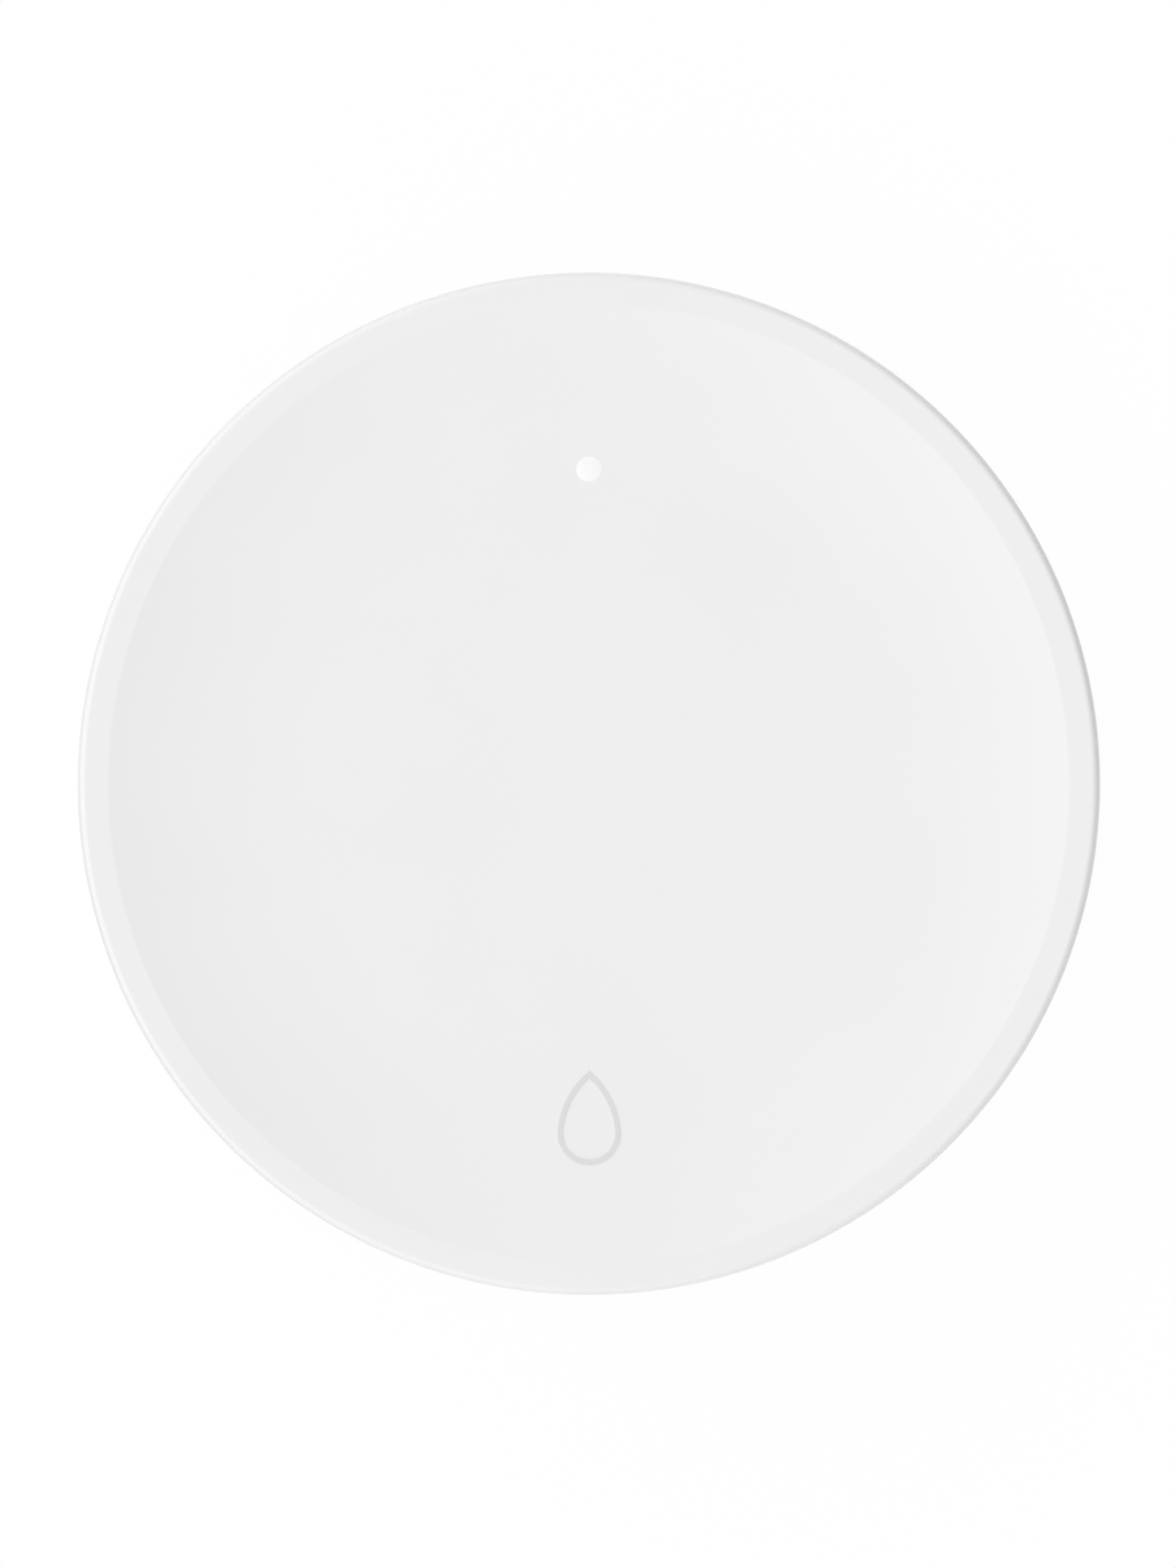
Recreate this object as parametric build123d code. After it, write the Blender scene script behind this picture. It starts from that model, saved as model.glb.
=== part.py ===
from build123d import *

import os
from math import atan, degrees, radians, sin, sqrt

# Lengths are in millimetres and angles in degrees. The sensor lies on its feet at height zero, with its round
# axis on Z. The lamp is towards +Y and the press spot, marked with a drop, is towards -Y.

# Coin cell, a standard lithium cell of 20 by 3.2, which lies with its can downwards
cell_diameter = 20.0
cell_thickness = 3.2
cell_can_height = 2.9
cell_metal = 0.25
cell_gasket_wall = 0.55
cell_gasket_rise = 0.1
cell_inner_gap = 0.02

# Battery cover, a bayonet cover that a coin turns
cover_inset = 0.15
cell_side_gap = 0.6
cover_spigot_wall = 1.2
cover_plate_thickness = 2.0
flange_thickness = 1.75
flange_lip = 0.6
flange_edge = 0.3
coin_slot_length = 13.0
coin_slot_width = 2.0
coin_slot_depth = 1.2
lug_reach = 0.9
lug_thickness = 1.0
cell_pad_diameter = 14.0
cell_pad_thickness = 0.5
cell_seat_gap = 0.05
mark_diameter = 0.9
mark_depth = 0.2
mark_angle = 60.0

# Bayonet: the cover turns by this angle and drops by this travel, steadily, on three lugs
lug_count = 3
opening_angle = 90.0
opening_travel = 4.5
lug_angle = 26.0
ramp_angle = 22.0
notch_end_angle = 82.0
throat_gap = 0.25
lug_side_gap = 0.2
lug_ramp_gap = 0.1
flange_seat_gap = 0.1
flange_side_gap = 0.25

# Round cord seal of the battery cover
cover_seal_cord = 1.1
seal_groove_spare = 0.1
seal_groove_land = 0.5
seal_gap = 0.02

# Base shell
foot_height = 0.6
foot_count = 3
foot_angle = 24.0
foot_width = 1.6
foot_first_angle = 90.0
foot_wall_inset = 1.3
base_floor = 1.8
ledge_thickness = 1.25
recess_wall = 1.35
probe_bay_width = 5.1
spigot_wall = 1.4
base_inset = 0.2
base_edge_radius = 2.1
parting_height = 4.2
reveal_height = 0.35
reveal_depth = 0.5
spigot_height = 3.0
lip_gap = 0.03

# Top cover
spigot_gap = 0.2
shell_wall = 1.5
top_wall = 1.5
rim_width = 1.49
rim_edge_radius = 0.25
cover_draft_angle = 0.5
dish_flat_diameter = 27.6
dish_depth = 0.66
cover_corner = 0.8

# Snap hooks between the shells
hook_count = 4
hook_first_angle = 22.5
hook_angle = 16.0
hook_rise = 1.9
hook_height = 0.8
hook_reach = 0.5
hook_bearing_gap = 0.05
hook_pocket_gap = 0.15
hook_pocket_angle = 18.0

# Round cord seal between the shells
shell_seal_cord = 0.9
shell_groove_height = 1.05
shell_groove_rise = 1.0

# Circuit board and what holds it
board_thickness = 1.0
board_edge_gap = 0.4
contact_gap = 1.1
post_count = 4
post_first_angle = 45.0
post_diameter = 4.0
screw_shank_diameter = 1.5
screw_head_diameter = 2.8
screw_head_height = 0.8
screw_depth = 3.4
screw_recess_width = 0.4
screw_recess_length = 1.6
screw_recess_depth = 0.4
board_hole_gap = 0.2
thread_gap = 0.02

# Cell holder, a moulded ring staked to the board
holder_gap = 0.3
holder_wall = 1.2
holder_cover_gap = 0.25
stake_count = 3
stake_first_angle = 30.0
stake_ear_diameter = 2.8
stake_ear_height = 1.4
stake_diameter = 1.2
stake_gap = 0.05
stake_rise = 0.3

# Sprung contacts of the cell
leaf_thickness = 0.25
leaf_width = 3.0
leaf_foot_share = 0.8
leaf_bend_share = 0.45
leaf_curl_share = 0.12
leaf_touch_gap = 0.02
leaf_curl_rise = 0.3
clip_angle = 90.0
clip_width = 3.0
clip_reach = 3.4
clip_finger_length = 2.0
clip_touch_gap = 0.05
clip_slot_gap = 0.2

# Water probes, one screw each side, through the base into a brass standoff on the board
probe_head_diameter = 5.0
probe_head_height = 1.0
probe_head_edge = 0.25
probe_proud = 0.4
probe_recess_gap = 0.3
probe_boss_diameter = 6.0
probe_boss_rise = 0.8
probe_shank_diameter = 2.5
probe_shank_gap = 0.1
probe_shank_length = 5.0
probe_slot_width = 0.7
probe_slot_length = 2.8
probe_slot_depth = 0.6
probe_seal_cord = 0.66
probe_seal_diameter = 3.6
standoff_diameter = 4.4
standoff_pin_diameter = 3.2
standoff_pin_gap = 0.05
standoff_pin_rise = 0.3

# Lamp and light pipe, whose place is counted inwards from the dish's edge
lamp_rim_distance = 8.11
pipe_tip_diameter = 1.2
pipe_flange_diameter = 2.6
pipe_flange_length = 2.6
pipe_gap = 0.02
pipe_boss_diameter = 4.4
pipe_boss_length = 1.3
led_length = 2.0
led_width = 1.25
led_height = 0.8
led_lens_gap = 0.3

# Press spot: a stiff pad in a thinned, flexing ring, over a tactile switch, placed like the lamp
button_rim_distance = 7.16
pad_diameter = 6.8
web_diameter = 10.4
web_thickness = 0.7
web_gap = 0.03
plunger_diameter = 2.2
plunger_gap = 0.05

# Printed drop outline
drop_round_radius = 1.57
drop_tip_height = 3.03
drop_line_width = 0.32
ink_thickness = 0.03

# Tactile switch
switch_side = 4.6
switch_height = 1.7
switch_well_diameter = 3.4
switch_well_depth = 1.1
switch_plate_side = 4.4
switch_plate_thickness = 0.2
switch_plate_gap = 0.15
switch_stem_diameter = 2.0
switch_flange_diameter = 2.8
switch_flange_thickness = 0.2
switch_flange_gap = 0.35
dome_diameter = 3.2
dome_rise = 0.45
dome_thickness = 0.08
dome_seat_gap = 0.01

# Room between the board and the top cover
component_room = 4.24

# Parts on the board, with their places as shares of the board's radius
chip_side = 5.0
chip_height = 0.9
chip_edge = 0.12
chip_place_share = (-0.3, 0.1)
crystal_length = 3.2
crystal_width = 2.5
crystal_height = 0.7
crystal_corner = 0.4
crystal_place_share = (-0.3, 0.36)
antenna_length = 5.0
antenna_width = 1.8
antenna_height = 1.1
antenna_angle = 112.0
antenna_edge_gap = 1.6
small_length = 1.6
small_width = 0.8
small_height = 0.5
small_pitch = 1.5
small_rows_share = ((0.05, 0.3), (0.05, 0.1), (-0.42, -0.2))
small_count = 5
test_pad_diameter = 1.2
test_pad_height = 0.04
test_pad_pitch = 2.0
test_pad_count = 5
test_pad_row_share = (0.1, -0.3)

# Cuts run past the faces they open by this much
overrun = 1.0

FROM_BELOW = (Align.CENTER, Align.CENTER, Align.MIN)

# Radii, worked from the cell outwards
cell_radius = cell_diameter / 2
cover_spigot_inner = cell_radius + cell_side_gap
cover_spigot_outer = cover_spigot_inner + cover_spigot_wall
lug_radius = cover_spigot_outer + lug_reach
throat_radius = cover_spigot_outer + throat_gap
notch_radius = lug_radius + lug_side_gap
seal_groove_width = cover_seal_cord + seal_groove_spare
seal_groove_inner = notch_radius + seal_groove_land
seal_groove_outer = seal_groove_inner + seal_groove_width
cover_seal_radius = (seal_groove_inner + seal_groove_outer) / 2
flange_radius = seal_groove_outer + flange_lip
recess_radius = flange_radius + flange_side_gap
ledge_radius = recess_radius + recess_wall
spigot_inner = ledge_radius + probe_bay_width
spigot_outer = spigot_inner + spigot_wall
cover_inner = spigot_outer + spigot_gap
case_radius = cover_inner + shell_wall
bay_radius = (ledge_radius + spigot_inner) / 2
board_radius = spigot_inner - board_edge_gap
base_radius = case_radius - base_inset
rim_inner = case_radius - rim_width
dish_flat_radius = dish_flat_diameter / 2
lamp_offset = rim_inner - lamp_rim_distance
button_offset = rim_inner - button_rim_distance

# Heights, worked from the feet upwards
cover_face = foot_height + cover_inset
flange_top = cover_face + flange_thickness
ledge_underside = flange_top + flange_seat_gap
ledge_top = ledge_underside + ledge_thickness
lug_top = ledge_top + lug_ramp_gap + lug_thickness
cover_plate_top = cover_face + cover_plate_thickness
cell_bottom = cover_plate_top + cell_pad_thickness + cell_seat_gap
cell_top = cell_bottom + cell_thickness
board_bottom = cell_top + contact_gap
board_top = board_bottom + board_thickness
dish_floor = board_top + component_room + top_wall
case_height = dish_floor + dish_depth
floor_top = foot_height + base_floor
spigot_top = parting_height + spigot_height
dish_run = rim_inner - dish_flat_radius
dish_curve_radius = (dish_run**2 + dish_depth**2) / (2 * dish_depth)


def disc(radius, low, high):
    """A cylinder on the round axis, between two heights."""
    return Pos(0, 0, low) * Cylinder(radius, high - low, align=FROM_BELOW)


def ring(inner, outer, low, high):
    """A round wall on the round axis, between two radii and two heights."""
    return disc(outer, low, high) - disc(inner, low - overrun, high + overrun)


def sector(inner, outer, low, high, start, end):
    """A piece of a round wall, between two angles."""
    corners = [(inner, low), (outer, low), (outer, high), (inner, high)]
    face = Plane.XZ * make_face(Polyline(*corners, close=True))
    return Rot(0, 0, start) * revolve(face, Axis.Z, end - start)


def block(length, width, low, high):
    """A box on the round axis, between two heights."""
    return Pos(0, 0, low) * Box(length, width, high - low, align=FROM_BELOW)


def around(radius, angle):
    """The place at a radius and an angle, turned to face outwards."""
    return Rot(0, 0, angle) * Pos(radius, 0, 0)


def spaced(count, first):
    """Equal angles round the circle."""
    return [first + index * 360 / count for index in range(count)]


def dish_height(radius):
    """How high the top surface lies at a radius."""
    past = max(radius - dish_flat_radius, 0)
    return dish_floor + dish_curve_radius - sqrt(dish_curve_radius**2 - past**2)


def dish_edges(offset):
    """The dish from its middle to the rim, moved up by an offset, as two edges of an outline."""
    middle = (0, dish_floor + offset)
    flat_end = (dish_flat_radius, dish_floor + offset)
    rim = (rim_inner, case_height + offset)
    return [Line(middle, flat_end), TangentArc(flat_end, rim, tangent=(1, 0))]


def skin(upper, lower):
    """The layer that lies between two offsets from the dish surface."""
    outer_end = Line((rim_inner, case_height + upper), (rim_inner, case_height + lower))
    middle = Line((0, dish_floor + upper), (0, dish_floor + lower))
    outline = [*dish_edges(upper), outer_end, *dish_edges(lower), middle]
    return revolve(Plane.XZ * make_face(outline), Axis.Z)


def cover_body():
    """The outside form of the top cover, as if it were solid."""
    top_radius = case_radius - (case_height - parting_height) * sin(radians(cover_draft_angle))
    wall_end = (top_radius, case_height - rim_edge_radius)
    edge_end = (top_radius - rim_edge_radius, case_height)
    outline = [
        Line((0, dish_floor), (0, parting_height)),
        Line((0, parting_height), (case_radius, parting_height)),
        Line((case_radius, parting_height), wall_end),
        TangentArc(wall_end, edge_end, tangent=(0, 1)),
        Line(edge_end, (rim_inner, case_height)),
        *dish_edges(0),
    ]
    return revolve(Plane.XZ * make_face(outline), Axis.Z)


def cover_hollow():
    """The space inside the top cover, which follows the dish one wall below it."""
    corner_radius = cover_inner - cover_corner
    corner_height = dish_height(corner_radius) - top_wall
    mouth = parting_height - overrun
    corner = (corner_radius, corner_height)
    flat_end = (dish_flat_radius, dish_floor - top_wall)
    outline = [
        Line((0, dish_floor - top_wall), flat_end),
        TangentArc(flat_end, corner, tangent=(1, 0)),
        Line(corner, (cover_inner, corner_height - cover_corner)),
        Line((cover_inner, corner_height - cover_corner), (cover_inner, mouth)),
        Line((cover_inner, mouth), (0, mouth)),
        Line((0, mouth), (0, dish_floor - top_wall)),
    ]
    return revolve(Plane.XZ * make_face(outline), Axis.Z)


def top_cover():
    """The dished cap, with its lamp bore, the opening of the press spot and the hook pockets."""
    boss_low = dish_floor - top_wall - pipe_boss_length
    lamp = Pos(0, lamp_offset, 0)
    boss = lamp * disc(pipe_boss_diameter / 2, boss_low, dish_floor - top_wall / 2)
    flange_high = pipe_flange_top() + pipe_gap
    wide_bore = lamp * disc(pipe_flange_diameter / 2 + pipe_gap, boss_low - overrun, flange_high)
    tip_bore = lamp * disc(pipe_tip_diameter / 2 + pipe_gap, boss_low, case_height + overrun)
    press_cut = disc(web_diameter / 2 + web_gap, ledge_top, case_height + overrun)
    cover = cover_body() - cover_hollow() + boss - wide_bore - tip_bore
    cover -= Pos(0, -button_offset, 0) * press_cut
    low = hook_low() - hook_bearing_gap
    high = hook_low() + hook_height + hook_pocket_gap
    reach = spigot_outer + hook_reach + hook_pocket_gap
    for angle in spaced(hook_count, hook_first_angle):
        start = angle - hook_pocket_angle / 2
        pocket = sector(cover_inner - overrun, reach, low, high, start, start + hook_pocket_angle)
        cover -= pocket
    return cover


def hook_low():
    """The underside of the snap hooks."""
    return spigot_top + hook_rise - hook_height


def pipe_flange_top():
    """Where the wide part of the light pipe ends."""
    return board_top + led_height + led_lens_gap + pipe_flange_length


def light_pipe():
    """A clear stepped rod whose tip is flush with the dish."""
    low = board_top + led_height + led_lens_gap
    place = Pos(0, lamp_offset, 0)
    flange = place * disc(pipe_flange_diameter / 2, low, pipe_flange_top())
    tip = place * disc(pipe_tip_diameter / 2, low, case_height + overrun)
    below_dish = skin(0, low - case_height)
    return flange + (tip & below_dish)


def status_led():
    """A white package with a rounded clear lens."""
    package = block(led_length, led_width, board_top, board_top + led_height / 2)
    lens = block(led_length / 2, led_width, board_top, board_top + led_height)
    lens = fillet(lens.edges().group_by(Axis.Z)[-1], led_height / 4)
    return Pos(0, lamp_offset, 0) * (package + lens)


def button_pad():
    """The stiff middle of the press spot, with the plunger under it."""
    pad = Pos(0, -button_offset, 0) * disc(pad_diameter / 2, ledge_top, case_height + overrun)
    low = switch_stem_top() + plunger_gap
    plunger = Pos(0, -button_offset, 0) * disc(plunger_diameter / 2, low, dish_floor - top_wall / 2)
    return (pad & skin(0, -top_wall)) + plunger


def button_web():
    """The thinned ring of the press spot, which flexes."""
    inner = pad_diameter / 2 + web_gap
    band = Pos(0, -button_offset, 0) * ring(inner, web_diameter / 2, ledge_top, case_height + overrun)
    return band & skin(0, -web_thickness)


def droplet_mark():
    """The printed drop outline, a thin layer of ink that follows the dish."""
    right, left = (drop_round_radius, 0), (-drop_round_radius, 0)
    bottom, tip = (0, -drop_round_radius), (0, drop_tip_height)
    outline = [
        ThreePointArc(left, bottom, right),
        TangentArc(right, tip, tangent=(0, 1)),
        TangentArc(left, tip, tangent=(0, 1)),
    ]
    drop = make_face(outline)
    band = drop - offset(drop, amount=-drop_line_width, kind=Kind.INTERSECTION)
    shift = (drop_tip_height - drop_round_radius) / 2
    column = extrude(Pos(0, -button_offset - shift, dish_floor) * band, amount=dish_depth + overrun)
    return column & skin(ink_thickness, 0)


def switch_stem_top():
    """The top of the switch's own stem, one plunger gap under the pad's plunger."""
    plate_top = board_top + switch_height + switch_plate_thickness
    return plate_top + switch_stem_diameter / 2


def switch_stem():
    """The moving stem of the switch, kept in by a flange under the cover plate."""
    high = board_top + switch_height - switch_flange_gap
    low = high - switch_flange_thickness
    stem = disc(switch_stem_diameter / 2, low, switch_stem_top())
    stem = chamfer(stem.edges().group_by(Axis.Z)[-1], switch_stem_diameter / 10)
    flange = disc(switch_flange_diameter / 2, low, high)
    return Pos(0, -button_offset, 0) * (stem + flange)


def tact_switch_body():
    """The switch's square body, with a round well for the dome."""
    high = board_top + switch_height
    body = block(switch_side, switch_side, board_top, high)
    body = chamfer(body.edges().filter_by(Axis.Z), switch_side / 15)
    well = disc(switch_well_diameter / 2, high - switch_well_depth, high + overrun)
    return Pos(0, -button_offset, 0) * (body - well)


def switch_cover_plate():
    """The thin steel plate over the switch."""
    low = board_top + switch_height
    plate = block(switch_plate_side, switch_plate_side, low, low + switch_plate_thickness)
    plate = chamfer(plate.edges().filter_by(Axis.Z), switch_plate_side / 15)
    hole = disc(switch_stem_diameter / 2 + switch_plate_gap, low - overrun, low + overrun)
    return Pos(0, -button_offset, 0) * (plate - hole)


def switch_dome():
    """The snap dome under the stem, a thin shallow cap."""
    low = board_top + switch_height - switch_well_depth + dome_seat_gap
    radius = dome_diameter / 2
    curve = (radius**2 + dome_rise**2) / (2 * dome_rise)
    centre = low + dome_rise - curve
    ball = Pos(0, 0, centre) * Sphere(curve)
    inner_ball = Pos(0, 0, centre) * Sphere(curve - dome_thickness)
    above = disc(radius, low, low + dome_rise + overrun)
    return Pos(0, -button_offset, 0) * ((ball - inner_ball) & above)


def incline(height):
    """Everything above a plane that falls in the opening direction at the bayonet's rate."""
    mid_radius = (cover_spigot_outer + lug_radius) / 2
    rate = opening_travel / radians(opening_angle)
    tilt = degrees(atan(rate / mid_radius))
    size = 4 * case_radius
    mid_height = height - opening_travel * (lug_angle / 2) / opening_angle
    half_space = Pos(0, 0, mid_height) * Rot(tilt, 0, 0) * Box(size, size, size, align=FROM_BELOW)
    return Rot(0, 0, -lug_angle / 2) * half_space


def bayonet_cuts():
    """The ramp and the notch of the base's ledge, for each lug."""
    outer = notch_radius
    ramp = sector(cell_radius, outer, ledge_underside, ledge_top + overrun, -ramp_angle, 0)
    ramp &= incline(ledge_top)
    low, high = ledge_underside - overrun, ledge_top + overrun
    notch = sector(cell_radius, outer, low, high, -notch_end_angle, -ramp_angle)
    cuts = []
    for angle in spaced(lug_count, 0):
        cuts += [Rot(0, 0, angle) * ramp, Rot(0, 0, angle) * notch]
    return cuts


def base_body():
    """The turned form of the base: floor, curved edge, reveal and spigot wall."""
    flat_radius = base_radius - base_edge_radius
    land_radius = base_radius - reveal_depth
    bottom = foot_height
    edge_end = (base_radius, bottom + base_edge_radius)
    low_reveal = parting_height - reveal_height
    outline = [
        Line((0, bottom), (flat_radius, bottom)),
        TangentArc((flat_radius, bottom), edge_end, tangent=(1, 0)),
        Polyline(
            edge_end,
            (base_radius, low_reveal),
            (land_radius, low_reveal),
            (land_radius, parting_height),
            (spigot_outer, parting_height),
            (spigot_outer, spigot_top),
            (spigot_inner, spigot_top),
            (spigot_inner, floor_top),
            (0, floor_top),
            (0, bottom),
        ),
    ]
    return revolve(Plane.XZ * make_face(outline), Axis.Z)


def feet():
    """The moulded feet, arcs near the edge of the underside."""
    outer = base_radius - base_edge_radius - foot_wall_inset
    inner = outer - foot_width
    pieces = []
    for angle in spaced(foot_count, foot_first_angle):
        start = angle - foot_angle / 2
        foot = sector(inner, outer, 0, foot_height + base_floor / 2, start, start + foot_angle)
        pieces.append(foot)
    return pieces


def hooks():
    """The snap tabs that stand on the spigot wall, each with its hook."""
    high = spigot_top + hook_rise
    middle = (spigot_inner + spigot_outer) / 2
    pieces = []
    for angle in spaced(hook_count, hook_first_angle):
        start = angle - hook_angle / 2
        end = start + hook_angle
        tab = sector(spigot_inner, spigot_outer, spigot_top, high, start, end)
        nose = sector(middle, spigot_outer + hook_reach, hook_low(), high, start, end)
        pieces.append(tab + nose)
    return pieces


def probe_recess_top():
    """The ceiling of the recess that holds a probe's head and seal."""
    return foot_height - probe_proud + probe_head_height + probe_seal_cord + 2 * seal_gap


def probe_boss_top():
    """Where a probe's standoff stands on the base."""
    return floor_top + probe_boss_rise


def base_shell():
    """The base, with its feet, bayonet ledge, probe bosses, board posts and hooks."""
    base = base_body() + disc(ledge_radius, foot_height, ledge_top)
    for piece in feet() + hooks():
        base += piece
    for x in (-bay_radius, bay_radius):
        base += Pos(x, 0, 0) * disc(probe_boss_diameter / 2, floor_top - overrun / 2, probe_boss_top())
    for angle in spaced(post_count, post_first_angle):
        base += around(bay_radius, angle) * disc(post_diameter / 2, floor_top - overrun / 2, board_bottom)
    base -= disc(recess_radius, foot_height - overrun, ledge_underside)
    base -= disc(throat_radius, foot_height, ledge_top + overrun)
    for cut in bayonet_cuts():
        base -= cut
    groove_low = parting_height + shell_groove_rise
    base -= ring(shell_groove_floor(), spigot_outer + overrun, groove_low, groove_low + shell_groove_height)
    for x in (-bay_radius, bay_radius):
        head_room = probe_head_diameter / 2 + probe_recess_gap
        shank_room = probe_shank_diameter / 2 + probe_shank_gap
        base -= Pos(x, 0, 0) * disc(head_room, foot_height - overrun, probe_recess_top())
        base -= Pos(x, 0, 0) * disc(shank_room, foot_height, probe_boss_top() + overrun)
    pilot = screw_shank_diameter / 2 + thread_gap
    for angle in spaced(post_count, post_first_angle):
        low = board_bottom - screw_depth
        base -= around(bay_radius, angle) * disc(pilot, low, board_bottom + overrun)
    for angle in (mark_angle, mark_angle - opening_angle):
        mark = disc(mark_diameter / 2, foot_height - overrun, foot_height + mark_depth)
        base -= around(ledge_radius, angle) * mark
    return base


def shell_groove_floor():
    """The radius of the floor of the shell seal's groove."""
    return cover_inner - shell_seal_cord - lip_gap - seal_gap


def shell_seal():
    """The round cord seal in the spigot wall."""
    mean = shell_groove_floor() + seal_gap + shell_seal_cord / 2
    middle = parting_height + shell_groove_rise + shell_groove_height / 2
    return Pos(0, 0, middle) * Torus(mean, shell_seal_cord / 2)


def battery_cover():
    """The bayonet cover: flange, plate, spigot and lugs, with its coin slot and seal groove."""
    flange = disc(flange_radius, cover_face, flange_top)
    flange = chamfer(flange.edges().group_by(Axis.Z)[0], flange_edge)
    plate = disc(cover_spigot_inner + cover_spigot_wall / 2, cover_face, cover_plate_top)
    spigot = ring(cover_spigot_inner, cover_spigot_outer, cover_face + flange_thickness / 2, lug_top)
    cover = flange + plate + spigot
    lug = sector(cover_spigot_inner, lug_radius, ledge_underside, lug_top, -lug_angle, 0)
    lug &= incline(ledge_top + lug_ramp_gap)
    lug -= disc(cover_spigot_inner, 0, lug_top + overrun)
    for angle in spaced(lug_count, 0):
        cover += Rot(0, 0, angle) * lug
    groove_low = flange_top + flange_seat_gap - cover_seal_cord - 2 * seal_gap
    cover -= ring(seal_groove_inner, seal_groove_outer, groove_low, flange_top + overrun / 2)
    slot = extrude(SlotOverall(coin_slot_length, coin_slot_width), amount=coin_slot_depth + overrun)
    cover -= Pos(0, 0, cover_face - overrun) * slot
    mark_radius = (cover_seal_radius + cover_spigot_outer) / 2
    mark = disc(mark_diameter / 2, cover_face - overrun, cover_face + mark_depth)
    return cover - around(mark_radius, mark_angle) * mark


def cover_seal_ring():
    """The round cord seal that the flange presses to the ledge."""
    middle = ledge_underside - seal_gap - cover_seal_cord / 2
    return Pos(0, 0, middle) * Torus(cover_seal_radius, cover_seal_cord / 2)


def cell_pad():
    """The foam disc on the inside of the battery cover."""
    return disc(cell_pad_diameter / 2, cover_plate_top, cover_plate_top + cell_pad_thickness)


def coin_cell_can():
    """The cell's positive can, a cup that opens upwards."""
    low, high = cell_bottom, cell_bottom + cell_can_height
    can = disc(cell_radius, low, high)
    can = fillet(can.edges().group_by(Axis.Z)[0], cell_metal)
    return can - disc(cell_radius - cell_metal, low + cell_metal, high + overrun)


def gasket_outer():
    """The outside radius of the cell's gasket."""
    return cell_radius - cell_metal - cell_inner_gap


def cap_radius():
    """The outside radius of the cell's cap."""
    return gasket_outer() - cell_gasket_wall - cell_inner_gap


def coin_cell_gasket():
    """The insulating ring between the can and the cap."""
    low = cell_bottom + cell_metal + cell_inner_gap
    high = cell_bottom + cell_can_height + cell_gasket_rise
    return ring(cap_radius() + cell_inner_gap, gasket_outer(), low, high)


def coin_cell_cap():
    """The cell's negative cap, a cup that opens downwards."""
    low = cell_bottom + cell_metal + cell_inner_gap
    cap = disc(cap_radius(), low, cell_top)
    cap = fillet(cap.edges().group_by(Axis.Z)[-1], cell_metal)
    return cap - disc(cap_radius() - cell_metal, low - overrun, cell_top - cell_metal)


def coin_cell_stack():
    """The electrodes inside the cell."""
    low = cell_bottom + cell_metal + cell_inner_gap
    radius = cap_radius() - cell_metal - cell_inner_gap
    return disc(radius, low, cell_top - cell_metal - cell_inner_gap)


def cell_holder():
    """The moulded ring that keeps the cell in place, staked to the board."""
    inner = cell_radius + holder_gap
    low = lug_top + holder_cover_gap
    holder = ring(inner, inner + holder_wall, low, board_bottom)
    stake_radius = inner + holder_wall
    for angle in spaced(stake_count, stake_first_angle):
        ear = disc(stake_ear_diameter / 2, board_bottom - stake_ear_height, board_bottom)
        pin = disc(stake_diameter / 2, board_bottom - stake_ear_height, board_top + stake_rise)
        holder += around(stake_radius, angle) * (ear + pin)
    holder -= disc(inner, low - overrun, board_bottom + overrun)
    slot_width = clip_width + 2 * clip_slot_gap
    slot = block(2 * clip_reach, slot_width, low - overrun, board_bottom + overrun)
    return holder - around(inner, clip_angle) * slot


def positive_contact():
    """The clip that hangs from the board and presses on the side of the can."""
    inner = cell_radius + clip_touch_gap
    high = board_bottom
    foot = block(clip_reach, clip_width, high - leaf_thickness, high)
    finger = block(leaf_thickness, clip_width, high - clip_finger_length, high)
    clip = Pos(clip_reach / 2, 0, 0) * foot + Pos(leaf_thickness / 2, 0, 0) * finger
    return around(inner, clip_angle) * clip


def negative_contact():
    """The sprung leaf under the board that presses on the middle of the cap."""
    half = leaf_thickness / 2
    foot_height_at = board_bottom - half
    points = [
        (-cell_radius * leaf_foot_share, foot_height_at),
        (-cell_radius * leaf_bend_share, foot_height_at),
        (0, cell_top + leaf_touch_gap + half),
        (cell_radius * leaf_curl_share, cell_top + leaf_touch_gap + half + leaf_curl_rise),
    ]
    band = trace(Polyline(*points), line_width=leaf_thickness)
    leaf = extrude(Plane.XZ * band, amount=leaf_width / 2, both=True)
    return leaf & disc(cell_radius, cell_top + leaf_touch_gap, board_bottom)


def circuit_board():
    """The round board, with its holes for the screws, the stakes and the standoffs."""
    board = disc(board_radius, board_bottom, board_top)
    low, high = board_bottom - overrun, board_top + overrun
    screw_hole = disc(screw_shank_diameter / 2 + board_hole_gap, low, high)
    for angle in spaced(post_count, post_first_angle):
        board -= around(bay_radius, angle) * screw_hole
    stake_hole = disc(stake_diameter / 2 + stake_gap, low, high)
    for angle in spaced(stake_count, stake_first_angle):
        board -= around(cell_radius + holder_gap + holder_wall, angle) * stake_hole
    pin_hole = disc(standoff_pin_diameter / 2 + standoff_pin_gap, low, high)
    for x in (-bay_radius, bay_radius):
        board -= Pos(x, 0, 0) * pin_hole
    return board


def cross_recess(length, width, low, high):
    """The cross in a screw's head."""
    return block(length, width, low, high) + block(width, length, low, high)


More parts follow.
